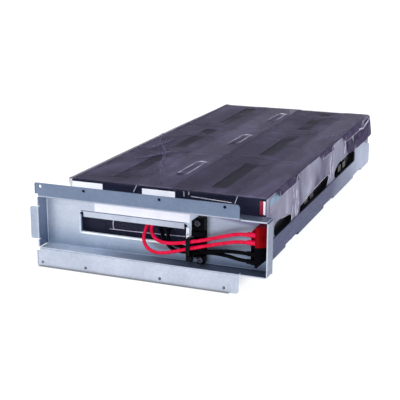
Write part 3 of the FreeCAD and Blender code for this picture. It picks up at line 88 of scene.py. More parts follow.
class Shader:
    """A Principled material with short calls for the nodes that feed it."""

    def __init__(self, name, **values):
        self.material = bpy.data.materials.new(name)
        self.material.use_nodes = True
        self.tree = self.material.node_tree
        self.bsdf = self.tree.nodes["Principled BSDF"]
        for socket, value in values.items():
            self.bsdf.inputs[socket.replace("_", " ")].default_value = value
        self.place = self.tree.nodes.new("ShaderNodeTexCoord").outputs["Object"]

    def link(self, output, target):
        self.tree.links.new(output, target)

    def stretched(self, x, y, z):
        """Object coordinates scaled along each axis."""
        node = self.tree.nodes.new("ShaderNodeMapping")
        node.inputs["Scale"].default_value = (x, y, z)
        self.link(self.place, node.inputs["Vector"])
        return node.outputs["Vector"]

    def noise(self, scale, detail, rough=0.55, vector=None, distortion=0.0):
        """Fractal noise of about 0 to 1, on the object's own coordinates unless a vector is given."""
        node = self.tree.nodes.new("ShaderNodeTexNoise")
        node.inputs["Scale"].default_value = scale
        node.inputs["Detail"].default_value = detail
        node.inputs["Roughness"].default_value = rough
        node.inputs["Distortion"].default_value = distortion
        self.link(vector or self.place, node.inputs["Vector"])
        return node.outputs["Fac"]

    def cells(self, scale):
        """Flat random value for each crystal-like cell."""
        node = self.tree.nodes.new("ShaderNodeTexVoronoi")
        node.inputs["Scale"].default_value = scale
        self.link(self.place, node.inputs["Vector"])
        split = self.tree.nodes.new("ShaderNodeSeparateColor")
        self.link(node.outputs["Color"], split.inputs["Color"])
        return split.outputs["Red"]

    def ramp(self, value, *stops):
        """Colour or grey ramp; each stop is (position, grey or RGB)."""
        node = self.tree.nodes.new("ShaderNodeValToRGB")
        elements = node.color_ramp.elements
        while len(elements) < len(stops):
            elements.new(0.5)
        for element, (position, colour) in zip(elements, stops):
            element.position = position
            grey = (colour,) * 3 if isinstance(colour, (int, float)) else tuple(colour)
            element.color = (*grey, 1.0)
        self.link(value, node.inputs["Fac"])
        return node.outputs["Color"]

    def math(self, operation, *values):
        """Result of a sum or other operation; each value is a number or an output."""
        node = self.tree.nodes.new("ShaderNodeMath")
        node.operation = operation
        for socket, value in zip(node.inputs, values):
            if isinstance(value, (int, float)):
                socket.default_value = value
            else:
                self.link(value, socket)
        return node.outputs["Value"]

    def mix(self, share, first, second, blend="MIX"):
        """Colour from first to second by share; the colours are RGB or outputs."""
        node = self.tree.nodes.new("ShaderNodeMix")
        node.data_type = "RGBA"
        node.blend_type = blend
        # the Mix node's colour sockets share their names with its other kinds, so they go by number
        factor, one, two, result = 0, 6, 7, 2
        self.link(share, node.inputs[factor])
        for index, value in ((one, first), (two, second)):
            if isinstance(value, tuple):
                node.inputs[index].default_value = (*value, 1.0)
            else:
                self.link(value, node.inputs[index])
        return node.outputs[result]

    def axis(self, name):
        """One coordinate of the object, in metres."""
        node = self.tree.nodes.new("ShaderNodeSeparateXYZ")
        self.link(self.place, node.inputs["Vector"])
        return node.outputs[name]

    def facing(self, name):
        """How far the surface faces along one of the object's axes."""
        node = self.tree.nodes.new("ShaderNodeSeparateXYZ")
        self.link(self.place.node.outputs["Normal"], node.inputs["Vector"])
        return node.outputs[name]

    def tint(self, colour, shade, *masks):
        """Multiply a colour by a shade where every mask is 1."""
        share = masks[0]
        for mask in masks[1:]:
            share = self.math("MULTIPLY", share, mask)
        return self.mix(share, colour, shade, "MULTIPLY")

    def span(self, value, low, high, start=0.0, end=1.0):
        """value from low..high to start..end, clamped."""
        node = self.tree.nodes.new("ShaderNodeMapRange")
        for socket, number in zip(("From Min", "From Max", "To Min", "To Max"), (low, high, start, end)):
            node.inputs[socket].default_value = number
        self.link(value, node.inputs["Value"])
        return node.outputs["Result"]

    def tones(self, cloud, dark, light):
        """Colour that drifts from dark to light with a noise."""
        return self.ramp(cloud, (NOISE_LOW, dark), (NOISE_HIGH, light))

    def sheen(self, cloud, smooth, rough):
        """Roughness that drifts from smooth to rough with a noise."""
        return self.span(cloud, NOISE_LOW, NOISE_HIGH, smooth, rough)

    def bump(self, height, strength, distance):
        """Fine relief, with its depth in metres."""
        node = self.tree.nodes.new("ShaderNodeBump")
        node.inputs["Strength"].default_value = strength
        node.inputs["Distance"].default_value = distance
        self.link(height, node.inputs["Height"])
        self.link(node.outputs["Normal"], self.bsdf.inputs["Normal"])

    def feed(self, **outputs):
        """Connect outputs to the shader's sockets by name."""
        for socket, output in outputs.items():
            self.link(output, self.bsdf.inputs[socket.replace("_", " ")])


def rgb(red, green, blue):
    """Linear colour from display values between 0 and 255."""
    def linear(value):
        value /= 255
        return value / 12.92 if value <= 0.04045 else ((value + 0.055) / 1.055) ** 2.4
    return tuple(linear(value) for value in (red, green, blue))


# --------------------------------------------------------------------- materials
def zinc(s):
    """Zinc-coated sheet: faint crystal flecks, rolled streaks, scuffs and a blue cast."""
    fleck = s.cells(420)
    cloud = s.noise(26, 4)
    streak = s.noise(60, 5, 0.7, s.stretched(0.25, 0.6, 5))
    tone = s.math("ADD", s.math("MULTIPLY", fleck, 0.20), s.math("MULTIPLY", cloud, 0.8))
    colour = s.ramp(tone, (0.25, rgb(175, 183, 200)), (0.55, rgb(193, 200, 215)), (0.8, rgb(208, 215, 229)))
    scuff = s.ramp(s.noise(180, 6, 0.75, distortion=1.5), (0.62, 0.0), (0.74, 1.0))
    colour = s.mix(s.math("MULTIPLY", scuff, 0.3), colour, rgb(140, 148, 162))
    sheen = s.math("ADD", s.math("MULTIPLY", fleck, 0.3), streak)
    s.feed(Roughness=s.span(sheen, 0.3, 1.0, 0.30, 0.52))
    s.bump(s.math("ADD", streak, s.math("MULTIPLY", s.noise(9, 2), 3.0)), 0.12, 0.0006)
    return colour


def pan_steel():
    """The front pan, with painted shade, light and reflections: a darker upper flange, ends and inner faces,
    and darker where the leads and plugs lie over it.
    """
    s = Shader("pan_steel", Metallic=0.82)
    x, y, z = s.axis("X"), s.axis("Y"), s.axis("Z")
    faces_right = s.span(s.facing("X"), 0.6, 0.8)
    faces_up = s.span(s.facing("Z"), 0.6, 0.8)
    behind_skin = s.span(y, 0.0004, 0.0012)
    back_wall = s.span(y, 0.015, 0.0165)
    from_fold = s.math("ABSOLUTE", s.math("SUBTRACT", z, 0.0141))
    from_middle = s.math("ABSOLUTE", s.math("ADD", x, 0.0045))
    wedge = s.math("ADD", z, s.math("MULTIPLY", x, 0.12))
    colour = zinc(s)
    for shade, *masks in (
            # painted shade: the upper flange, the left end, and the right end's outer face
            ((0.33, 0.39, 0.48), s.span(z, 0.0290, 0.0302)),
            ((0.70, 0.74, 0.78), s.span(x, -0.1012, -0.1018)),
            ((0.44, 0.48, 0.55), s.span(x, 0.1380, 0.1386), s.span(s.facing("X"), 0.3, 0.8)),
            # painted shade on the left wall's inner face, and painted shade and light on the floor: darker to
            # the right, lighter to the left
            ((0.42, 0.48, 0.58), faces_right, s.span(x, -0.09, -0.1), behind_skin),
            ((0.22, 0.26, 0.33), faces_up, s.span(x, -0.05, 0.05), behind_skin),
            ((1.8, 1.8, 1.8), faces_up, s.span(x, -0.01, -0.06), behind_skin),
            # painted shade on the back wall: its lower part, a shadow line over the window and its right
            # part; a painted reflection in its upper corner
            ((0.56, 0.64, 0.73), back_wall, s.span(z, 0.006, -0.018)),
            ((0.25, 0.27, 0.32), back_wall,
             s.span(from_fold, 0.0006, 0.0003), s.span(from_middle, 0.0575, 0.0565)),
            ((0.66, 0.68, 0.74), back_wall, s.span(x, 0.02, 0.09)),
            ((0.50, 0.44, 0.56), back_wall, s.span(x, 0.076, 0.084), s.span(wedge, 0.0315, 0.0345))):
        colour = s.tint(colour, shade, *masks)
    s.feed(Base_Color=colour)
    return s.material


def tray_steel():
    """The battery tray: the same sheet, with a painted shade along its right side towards the front."""
    s = Shader("tray_steel", Metallic=0.75, Specular_Tint=(0.62, 0.63, 0.76, 1.0))
    # painted shade: the right side darkens towards the front, with a noisy edge
    right_side = s.span(s.axis("X"), 0.1260, 0.1300)
    haze_and_shade = s.math("ADD", s.axis("Y"), s.math("MULTIPLY", s.noise(14, 3), 0.12))
    s.feed(Base_Color=s.tint(zinc(s), (0.14, 0.14, 0.22), right_side, s.span(haze_and_shade, 0.48, 0.34)))
    return s.material


def battery_case():
    """Satin black ABS with a fine grain; the film clings to its raised top faces and greys them."""
    s = Shader("battery_case", Specular_IOR_Level=0.14)
    cloud = s.noise(18, 3)
    colour = s.tones(cloud, rgb(11, 12, 20), rgb(18, 19, 30))
    cling = s.noise(26, 4, 0.6, s.stretched(1.0, 0.5, 1.0))
    veil = s.ramp(cling, (0.34, rgb(48, 43, 63)), (0.52, rgb(64, 59, 82)), (0.68, rgb(90, 84, 112)))
    veil = s.tint(veil, (0.76, 0.75, 0.78), s.span(s.axis("X"), -0.05, 0.11))
    raised = s.span(s.axis("Z"), 0.0438, 0.0442)
    s.feed(Base_Color=s.mix(raised, colour, veil), Roughness=s.sheen(cloud, 0.36, 0.5))
    s.bump(s.noise(2600, 2), 0.15, 0.0001)
    return s.material


def moulded(name, dark, light, rough, gloss, grain=1800):
    """Moulded plastic with a fine grain and slight uneven sheen."""
    s = Shader(name, Specular_IOR_Level=gloss)
    cloud = s.noise(90, 4)
    s.feed(Base_Color=s.tones(cloud, dark, light), Roughness=s.sheen(cloud, *rough))
    s.bump(s.math("ADD", s.noise(grain, 2), cloud), 0.12, 0.0002)
    return s.material


def paper(name, dark, light, high, low, below):
    """Bare label stock, darker on the pan; on the film it turns another colour from high to low, which on the
    white labels is a painted shade, near black, behind the pan's top flange.
    """
    s = Shader(name, Roughness=0.5, Specular_IOR_Level=0.2)
    cloud = s.noise(60, 4)
    y = s.axis("Y")
    on_pan, on_film = s.span(y, 0.020, 0.018), s.span(y, 0.018, 0.020)
    colour = s.tint(s.tones(cloud, dark, light), (0.80, 0.80, 0.82), on_pan)
    lower = s.math("MULTIPLY", s.span(s.axis("Z"), high, low), on_film)
    s.feed(Base_Color=s.mix(lower, colour, below))
    s.bump(s.math("ADD", cloud, s.math("MULTIPLY", s.noise(900, 2), 0.3)), 0.1, 0.0003)
    return s.material


def edging():
    """White nylon strip round the window, greyer down the window's left side."""
    s = Shader("white_nylon")
    cloud = s.noise(90, 4)
    colour = s.tones(cloud, rgb(206, 212, 222), rgb(228, 232, 240))
    colour = s.tint(colour, (0.62, 0.69, 0.78), s.span(s.axis("X"), -0.0598, -0.0603))
    s.feed(Base_Color=colour, Roughness=s.sheen(cloud, 0.35, 0.5))
    s.bump(s.math("ADD", s.noise(1800, 2), cloud), 0.12, 0.0002)
    return s.material


def edge_label():
    """Red label whose outer edge is painted white where it turns the corner, a painted highlight."""
    s = Shader("red_label", Roughness=0.35)
    red = s.tones(s.noise(60, 4), rgb(112, 14, 34), rgb(150, 30, 52))
    # painted highlight: white along the corner
    corner = s.span(s.axis("X"), 0.1262, 0.1266)
    s.feed(Base_Color=s.mix(corner, red, rgb(226, 222, 236)))
    return s.material


def insulation(name, dark, light, gloss):
    """Glossy PVC with faint extrusion waves."""
    s = Shader(name, Specular_IOR_Level=gloss)
    cloud = s.noise(150, 3)
    s.feed(Base_Color=s.tones(cloud, dark, light), Roughness=s.sheen(cloud, 0.22, 0.34))
    s.bump(s.noise(420, 2), 0.08, 0.0002)
    return s.material


def metal(name, dark, light, rough=(0.2, 0.4)):
    """Small plated parts: metallic with a light brushed grain; the terminals' near-black tin is a painted
    shade.
    """
    s = Shader(name, Metallic=1.0)
    cloud = s.noise(300, 4, vector=s.stretched(1, 1, 6))
    s.feed(Base_Color=s.tones(cloud, dark, light), Roughness=s.sheen(cloud, *rough))
    s.bump(cloud, 0.1, 0.0001)
    return s.material


def top_film():
    """Shrink film drawn tight over the batteries: smoky and glossy, hazier over their lids."""
    s = Shader("film_top", Specular_IOR_Level=0.34)
    pull = s.noise(30, 5, 0.6, s.stretched(1.0, 0.35, 1.0), 0.8)
    fine = s.noise(160, 3, 0.6, s.stretched(1.0, 0.5, 1.0))
    x = s.axis("X")
    lids = s.math("MAXIMUM", s.math("MULTIPLY", s.span(x, -0.012, -0.003), s.span(x, 0.038, 0.032)),
                  s.math("MAXIMUM", s.span(x, 0.094, 0.101), s.span(x, -0.068, -0.073)))
    haze_and_shade = s.span(s.noise(24, 3), 0.50, 0.62, 0.2, 0.62)
    cover = s.math("MAXIMUM", s.span(lids, 0.0, 1.0, 0.22, 0.92), haze_and_shade)
    s.feed(Base_Color=s.ramp(pull, (0.3, rgb(49, 43, 67)), (0.5, rgb(60, 53, 79)), (0.72, rgb(83, 75, 105))),
           Roughness=s.sheen(fine, 0.2, 0.28), Alpha=cover)
    s.bump(pull, 0.22, 0.001)
    return s.material


def side_film():
    """The same film bunched into many layers down the right side: milky lilac, partly a painted reflection,
    with painted highlights along the pleats.
    """
    s = Shader("film_side", Specular_IOR_Level=0.0)
    pleat = s.noise(17, 2, 0.45, s.stretched(1.0, 1.0, 0.6), 0.6)
    # the lighter stops are partly a painted reflection, the lightest a painted highlight
    s.feed(Base_Color=s.ramp(pleat, (0.34, rgb(104, 101, 126)), (0.5, rgb(146, 144, 166)),
                             (0.64, rgb(166, 165, 186)), (0.74, rgb(226, 225, 240))),
           Roughness=s.sheen(pleat, 0.2, 0.34), Alpha=s.span(pleat, 0.3, 0.5, 0.94, 0.98))
    s.bump(pleat, 0.3, 0.0012)
    return s.material


def clear_film(name, alpha, dark, light, gloss=0.2):
    """A single layer of film: clear and glossy, with faint stretch lines."""
    s = Shader(name, Specular_IOR_Level=gloss, Alpha=alpha)
    pull = s.noise(60, 4, 0.6, s.stretched(0.5, 1.0, 1.5), 0.6)
    s.feed(Base_Color=s.tones(pull, dark, light), Roughness=s.sheen(pull, 0.1, 0.24))
    s.bump(pull, 0.15, 0.0008)
    return s.material


FINISH = {
    "galvanised_steel": pan_steel(),
    "battery_case": battery_case(),
    # painted shade: the terminals are near black, as they sit in shadow in the side openings
    "tinned_brass": metal("tinned_brass", rgb(14, 14, 18), rgb(30, 29, 32)),
    "shrink_film": top_film(),
    # the white labels' lower part, behind the pan's top flange, is a painted shade, near black
    "white_label": paper("white_label", rgb(228, 229, 242), rgb(242, 243, 253),
                         0.0340, 0.0336, rgb(12, 12, 18)),
    "red_label": edge_label(),
    "pale_label": paper("pale_label", rgb(112, 146, 176), rgb(160, 182, 206),
                        0.0375, 0.0325, rgb(142, 139, 161)),
    "white_nylon": edging(),
    "black_plastic": moulded("black_plastic", rgb(1, 1, 3), rgb(4, 4, 8), (0.2, 0.36), 0.03),
    "plated_steel": metal("plated_steel", rgb(40, 42, 48), rgb(80, 82, 92), (0.18, 0.3)),
    "tie_nylon": moulded("tie_nylon", rgb(6, 7, 10), rgb(12, 13, 18), (0.25, 0.4), 0.06, 900),
    "red_plastic": moulded("red_plastic", rgb(92, 0, 4), rgb(128, 0, 10), (0.24, 0.36), 0.04),
    "red_insulation": insulation("red_insulation", rgb(178, 0, 40), rgb(202, 0, 62), 0.2),
    "black_insulation": insulation("black_insulation", rgb(1, 1, 3), rgb(3, 3, 7), 0.05),
}
TRAY_STEEL = tray_steel()
SIDE_FILM = side_film()
FRONT_FILM = clear_film("film_front", 0.25, rgb(34, 38, 62), rgb(62, 66, 96), 0.1)
# light folds: milky film, partly a painted highlight along each fold
FOLD_FILM = clear_film("film_folds", 0.72, rgb(140, 137, 162), rgb(228, 227, 242), 0.3)
CREASE_FILM = clear_film("film_creases", 0.5, rgb(52, 43, 70), rgb(104, 93, 130), 0.1)
DARK_FILM = clear_film("film_flaps", 0.97, rgb(62, 54, 78), rgb(98, 90, 118), 0.0)
# painted shade: near-black ovals for the dark inside of the slits
SLIT_SHADE = clear_film("film_slit_shade", 0.98, rgb(3, 3, 6), rgb(8, 8, 12))


BEVELLED = ("front_pan", "battery_tray", "connector_red", "connector_black", "cable_saddle")
WORN_EDGE = 0.18 * MM


def finish_nodes():
    """Each CAD node gets its slot's material, and sheet and moulded parts a fine edge bevel."""
    for part in frame["record"]["subparts"]:
        node = nodes[part["node"]]
        node.data.materials.clear()
        node.data.materials.append(FINISH[part["material_slot"]])
        if part["node"] in BEVELLED:
            bevel = node.modifiers.new("worn edge", "BEVEL")
            bevel.width = WORN_EDGE
            bevel.segments = 2
            bevel.limit_method = "ANGLE"
            bevel.angle_limit = math.radians(50)
            bevel.harden_normals = False
    nodes["battery_tray"].data.materials[0] = TRAY_STEEL


def add_object(name, data):
    """New object in the scene."""
    item = bpy.data.objects.new(name, data)
    bpy.context.scene.collection.objects.link(item)
    return item


def film_piece(name, vertices, faces, material):
    """Smooth mesh of film that rides the part's one body."""
    mesh = bpy.data.meshes.new(name)
    mesh.from_pydata([tuple(v) for v in vertices], [], faces)
    mesh.validate()
    mesh.shade_smooth()
    mesh.materials.append(material)
    item = add_object(name, mesh)
    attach(item, "root")
    return item


# -------------------------------------------------------------------- shrink film
FILM_LOW, FILM_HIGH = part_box("film_wrap")
CELL = 2.3 * MM                             # spacing of the sheet's points
EDGE_RADIUS = 2.2 * MM
ROW_PITCH = 151.2 * MM                      # from one battery row's front to the next
FRONT_ROW = FILM_LOW.y + 0.7 * MM
# millimetres from the part's left end, front and underside, as for at_x and at_z:
# long creases on the top between (x, y) spots, and puckers over the channel from y to y
CREASES = (((32, 258), (52, 205)), ((52, 205), (75, 164)), ((75, 164), (96, 106)),
           ((96, 106), (126, 38)), ((52, 170), (60, 232)), ((60, 122), (84, 170)))
PUCKERS = ((72, 137), (230, 287), (380, 435))
PUCKER_MIDDLE = 132
PUCKER_HALF = 4.6 * MM
# pleats on the right side, as (y, share of full height), and its torn openings, as (y, z) corners
PLEATS = ((112, 1.0), (118, 0.6), (126, 0.9), (133, 0.5), (262, 0.8), (270, 1.0), (280, 0.7),
          (400, 0.8), (412, 0.5))
OPENINGS = (((47, 41), (47, 59), (100, 53.5), (107, 51), (108, 45), (101, 41)),
            ((138, 41), (138, 49), (148, 53), (250, 58.5), (260, 56), (257, 48), (246, 41)),
            ((288, 41), (288, 57), (358, 62), (385, 61), (395, 55), (394, 47), (386, 41)))


def grid_lines(low, high, radius):
    """Even lines between two faces, with closer ones round the edge's bend."""
    bend = (0, 0.4, 0.75, 1.1)
    near = [low + radius * share for share in bend]
    far = [high - radius * share for share in reversed(bend)]
    count = max(2, round((far[0] - near[-1]) / CELL))
    inner = np.linspace(near[-1], far[0], count + 1)[1:-1]
    return np.array([*near, *inner, *far])


def film_grid(low, high, radius):
    """Points, outward directions and faces of a rounded box made of even cells."""
    lines = [grid_lines(low[a], high[a], radius) for a in range(3)]
    last = [len(line) - 1 for line in lines]
    found, vertices, faces = {}, [], []

    def corner(*place):
        if place not in found:
            found[place] = len(vertices)
            vertices.append([lines[a][place[a]] for a in range(3)])
        return found[place]

    for axis in range(3):
        one, two = (axis + 1) % 3, (axis + 2) % 3
        for side in (0, last[axis]):
            for i in range(last[one]):
                for j in range(last[two]):
                    ring = []
                    for di, dj in ((0, 0), (1, 0), (1, 1), (0, 1)):
                        place = [0, 0, 0]
                        place[axis], place[one], place[two] = side, i + di, j + dj
                        ring.append(corner(*place))
                    faces.append(ring if side else ring[::-1])
    points = np.array(vertices)
    inner = np.clip(points, np.array(low) + radius, np.array(high) - radius)
    out = points - inner
    out /= np.linalg.norm(out, axis=1)[:, None]
    return inner + out * radius, out, faces


def waves(points, scale, seed, octaves=3):
    """Smooth seeded noise between about -1 and 1 at each point."""
    shift = Vector((seed * 7.3, seed * 3.1, seed * 5.7))
    return np.array([noise.fractal(Vector(p) * scale + shift, 0.8, 2.0, octaves) for p in points])


def ridge(distance, width):
    """Rounded bump that is 1 at no distance and fades over the width."""
    return np.exp(-(distance / width) ** 2)


def step(value, low, high):
    """Smooth rise from 0 at low to 1 at high."""
    share = np.clip((value - low) / (high - low), 0, 1)
    return share * share * (3 - 2 * share)


def rounded(corners, rounds=3):
    """Outline in (y, z) metres through corners in millimetres, which are cut round."""
    rim = np.array([(y * MM, at_z(z)) for y, z in corners])
    for _ in range(rounds):
        after = np.roll(rim, -1, axis=0)
        rim = np.stack((0.75 * rim + 0.25 * after, 0.25 * rim + 0.75 * after), 1).reshape(-1, 2)
    return rim


def inside(points, rim):
    """Which 2-D points lie inside the outline."""
    y, z = points[:, 0], points[:, 1]
    within = np.zeros(len(points), bool)
    for (y0, z0), (y1, z1) in zip(rim, np.roll(rim, -1, axis=0)):
        crosses = (z0 > z) != (z1 > z)
        slope = (y1 - y0) * (z - z0) / (z1 - z0 if z1 != z0 else 1e-12) + y0
        within ^= crosses & (y < slope)
    return within


def nearest(point, rim):
    """Closest point to this one on the outline."""
    start, end = rim, np.roll(rim, -1, axis=0)
    along = end - start
    share = np.clip(((point - start) * along).sum(1) / (along ** 2).sum(1), 0, 1)
    spots = start + along * share[:, None]
    return spots[np.argmin(((spots - point) ** 2).sum(1))]


def line_distance(x, y, x0, y0, x1, y1):
    """Distance to a line between two spots given in millimetres."""
    start, end = np.array((at_x(x0), y0 * MM)), np.array((at_x(x1), y1 * MM))
    along = end - start
    here = np.stack((x, y), 1) - start
    share = np.clip(here @ along / (along @ along), 0, 1)
    return np.linalg.norm(here - share[:, None] * along, axis=1)


def oblong_distance(x, y, middle, y0, y1, half):
    """Signed distance to a long round-ended outline, negative inside."""
    y_in = np.clip(y, y0 + half, y1 - half)
    return np.hypot(x - middle, y - y_in) - half


def make_film():
    """Points, outward directions and faces of the creased sheet round the batteries."""
    low, high = np.array(FILM_LOW), np.array(FILM_HIGH)
    points, out, faces = film_grid(low + 0.1 * MM, high - 0.1 * MM, EDGE_RADIUS)
    x, y, z = points.T
    top = step(out[:, 2], 0.5, 0.9)
    right = step(out[:, 0], 0.5, 0.9)
    front = step(-out[:, 1], 0.5, 0.9)

    lift = 0.22 * waves(points * (1, 0.45, 1), 22, 1) * top
    lift += 0.5 * waves(points * (1, 1, 0.5), 26, 2, 2) * right
    lift += 0.15 * waves(points, 30, 3) * front
    # the sheet dips a little over the joints between battery rows
    for row in (1, 2):
        seam = FRONT_ROW + row * ROW_PITCH
        wobble = 1.2 * MM * np.sin(x * 60 + row)
        lift += (0.35 * ridge(y - seam - wobble - 1.5 * MM, 1.6 * MM)
                 - 0.4 * ridge(y - seam - wobble, 1.8 * MM)) * top
    # long soft creases across the left column
    for (x0, y0), (x1, y1) in CREASES:
        lift += 0.6 * ridge(line_distance(x, y, x0, y0, x1, y1), 1.7 * MM) * top
    # oblong puckers over the channel between the columns
    for y0, y1 in PUCKERS:
        rim = oblong_distance(x, y, at_x(PUCKER_MIDDLE), y0 * MM, y1 * MM, PUCKER_HALF)
        lift += (0.75 * ridge(rim, 1.4 * MM) - 0.35 * step(-rim, 0, 2 * MM)) * top
    # upright pleats where the sheet is drawn together between the side openings
    for middle, height in PLEATS:
        drift = 2.0 * MM * np.sin(z * 55 + middle)
        lift += 1.1 * height * ridge(y - middle * MM - drift, 1.6 * MM) * right
    points = points + out * lift[:, None] * MM
    # the sheet stands off a little along the left top edge
    left = step(-out[:, 0], 0.3, 0.9) * step(z, high[2] - 14 * MM, high[2] - 3 * MM)
    points[:, 0] -= 3.2 * MM * left * step(-y, -460 * MM, -300 * MM)
    return points, out, faces


def cut_side(points, out, faces):
    """Remove the sheet inside the side openings and draw its edges onto their outlines."""
    rims = [rounded(corners) for corners in OPENINGS]
    side = out[:, 0] > 0.7
    flat = points[:, 1:3].copy()
    gone = np.zeros(len(points), bool)
    for rim in rims:
        gone |= side & inside(flat, rim)
    kept = [face for face in faces if not all(gone[i] for i in face)]
    for i in {i for face in kept for i in face}:
        if gone[i]:
            spots = [nearest(flat[i], rim) for rim in rims]
            points[i, 1:3] = min(spots, key=lambda spot: np.linalg.norm(spot - flat[i]))
    return kept


def sheet_part(name, points, faces, material):
    """One region of the film as a piece of its own."""
    used = sorted({i for face in faces for i in face})
    renumber = {old: new for new, old in enumerate(used)}
    return film_piece(name, points[used], [[renumber[i] for i in face] for face in faces], material)


def split_film():
    """The film's top, right side and remaining faces, each with its own look."""
    points, out, faces = make_film()
    kept = cut_side(points, out, faces)
    regions = {"film_top": [], "film_side": [], "film_body": []}
    for face in kept:
        facing = out[face].mean(axis=0)
        chosen = "film_top" if facing[2] > 0.5 else "film_side" if facing[0] > 0.6 else "film_body"
        regions[chosen].append(face)
    sheet_part("film_top", points, regions["film_top"], FINISH["shrink_film"])
    sheet_part("film_side", points, regions["film_side"], SIDE_FILM)
    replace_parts(sheet_part("film_body", points, regions["film_body"], FRONT_FILM), "film_wrap")


def strip_faces(first, lines, sides):
    """Faces between neighbouring lines of points, each line sides + 1 points long."""
    for line in range(lines - 1):
        for k in range(sides):
            a = first + line * (sides + 1) + k
            yield a, a + 1, a + sides + 2, a + sides + 1


def welts(name, folds, material):
    """Fine raised folds: half-round strips, each from (line, width, height, outward)."""
    vertices, faces = [], []
    sides = 4
    around = [(math.cos(math.pi * k / sides), math.sin(math.pi * k / sides)) for k in range(sides + 1)]
    for line, width, height, outward in folds:
        spots = [Vector(spot) for spot in line]
        rise = Vector(outward)
        first = len(vertices)
        for index, spot in enumerate(spots):
            ahead = spots[min(index + 1, len(spots) - 1)] - spots[max(index - 1, 0)]
            across = ahead.cross(rise).normalized()
            taper = 0.35 if index in (0, len(spots) - 1) else 1.0
            for c, s in around:
                vertices.append(spot + across * (c * width / 2) + rise * (s * height * taper - 0.15 * MM))
        faces.extend(strip_faces(first, len(spots), sides))
    film_piece(name, vertices, faces, material)


def top_fold(width, height, *spots):
    """Fold on the top through (x, y) spots, all in millimetres."""
    line = [(at_x(x), y * MM, FILM_HIGH.z + 0.35 * MM) for x, y in spots]
    return line, width * MM, height * MM, (0, 0, 1)


def front_fold(width, height, *spots):
    """Fold on the front through (x, z) spots, all in millimetres."""
    line = [(at_x(x), FILM_LOW.y, at_z(z)) for x, z in spots]
    return line, width * MM, height * MM, (0, -1, 0)


def side_fold(width, height, *spots, proud=0.2):
    """Fold on the right side through (y, z) spots, all in millimetres."""
    line = [(FILM_HIGH.x + proud * MM, y * MM, at_z(z)) for y, z in spots]
    return line, width * MM, height * MM, (1, 0, 0)


def pucker_folds():
    """Both long sides and the rear end of each pucker."""
    for y0, y1 in PUCKERS:
        yield top_fold(1.3, 0.7, (127, y0 + 3), (126.5, y0 + 14), (127, y1 - 12), (127.5, y1 - 2))
        yield top_fold(1.2, 0.8, (136, y0 + 6), (136.5, y0 + 20), (136, y1 - 8), (137, y1))
        yield top_fold(1.6, 1.0, (127, y1 - 3), (131, y1 - 1), (136, y1 - 1.5))


def window_folds():
    """Straight folds on the front: three behind the pan's window, the others above the pan."""
    yield front_fold(0.9, 0.6, (75.8, 39.7), (97.9, 39.9), (119.6, 40.4), (157.7, 41.5))
    yield front_fold(1.0, 0.6, (80.5, 50.5), (79.6, 46), (79.8, 42), (80.5, 39.9))
    yield front_fold(0.8, 0.5, (79.8, 50.4), (104, 49.6), (140, 49.9))
    for start, end in (((102.4, 80.5), (105.8, 87.4)), ((155.8, 81.5), (155.5, 86.8)),
                       ((160.6, 83.6), (160.8, 87.0)), ((163, 82.4), (204, 80.6)),
                       ((207.2, 79.8), (209.9, 87.4))):
        yield front_fold(0.8, 0.5, start, end)


def pleat_folds():
    """Wavering upright folds between the side's openings."""
    for y, z0, z1 in ((110, 50, 80), (121, 42, 78), (129, 43, 74),
                      (264, 50, 79), (277, 43, 80), (336, 64, 84)):
        spots = [(y + 2.5 * math.sin(k * 1.7 + y), z0 + (z1 - z0) * k / 5) for k in range(6)]
        yield side_fold(1.4, 1.2, *spots)


def tab_folds():
    """Rims and end folds of the three tabs, and the rim of the rear flap, light with a painted highlight."""
    proud = 2.9
    for front, rear, low in ((54, 123, 82.3), (217, 271, 83.4), (328, 428, 80.8)):
        yield side_fold(1.0, 0.6, (front, 88.6), (front + 3, low), proud=proud)
        yield side_fold(0.8, 0.5, (front + 3, low), (rear - 10, low + 0.3), proud=proud)
        yield side_fold(1.6, 1.0, (rear - 9, 88.8), (rear - 10, low + 1), proud=proud)
        yield side_fold(1.6, 1.0, (rear - 1, 88.8), (rear + 1, low + 2), proud=proud)
    yield side_fold(2.2, 1.2, (400, 83), (425, 80), (452, 84), (468, 87.6), proud=proud)


def torn_edges():
    """The curled edge of each opening, from its first to its last curled corner."""
    for corners, (first, last) in zip(OPENINGS, ((1, 4), (1, 5), (1, 5))):
        rim = rounded(corners)
        share = len(rim) // len(corners)
        line = [(FILM_HIGH.x + 0.1 * MM, *rim[i % len(rim)]) for i in range(first * share, last * share, 2)]
        yield line, 1.2 * MM, 0.8 * MM, (1, 0, 0)


def crease_folds():
    """Broad low folds that bow slightly along the long creases of the top."""
    for start, end in CREASES:
        middle = ((start[0] + end[0]) / 2 + 1.5, (start[1] + end[1]) / 2)
        yield top_fold(3.4, 1.1, start, middle, end)


def make_folds():
    """All fine folds, light with a painted highlight, as one piece, and the darker creases of the top as
    another.
    """
    light = [*pucker_folds(), *window_folds(), *pleat_folds(), *tab_folds(), *torn_edges()]
    welts("film_folds", light, FOLD_FILM)
    welts("film_creases", crease_folds(), CREASE_FILM)


def hanging(name, line, rows=8, reach=2.2, seed=5):
    """Loose flap: a sheet from an upper line to a lower one, (y, upper z, lower z) along it."""
    y, high, low = (np.array(values) for values in zip(*line))
    spacing, fewest = 2.5, 8
    places = np.linspace(y[0], y[-1], max(fewest, round((y[-1] - y[0]) / spacing)))
    vertices = []
    for place in places:
        z1, z0 = np.interp(place, y, high), np.interp(place, y, low)
        for k in range(rows + 1):
            share = k / rows
            spot = Vector((0, place * MM, at_z(z1 + (z0 - z1) * share)))
            wave = noise.fractal(Vector((seed, spot.y * 60, spot.z * 90)), 0.8, 2.0, 3)
            bow = reach * share * (1 + 0.10 * wave)
            vertices.append((FILM_HIGH.x + (0.3 + bow) * MM, spot.y, spot.z))
    film_piece(name, vertices, list(strip_faces(0, len(places), rows)), DARK_FILM)


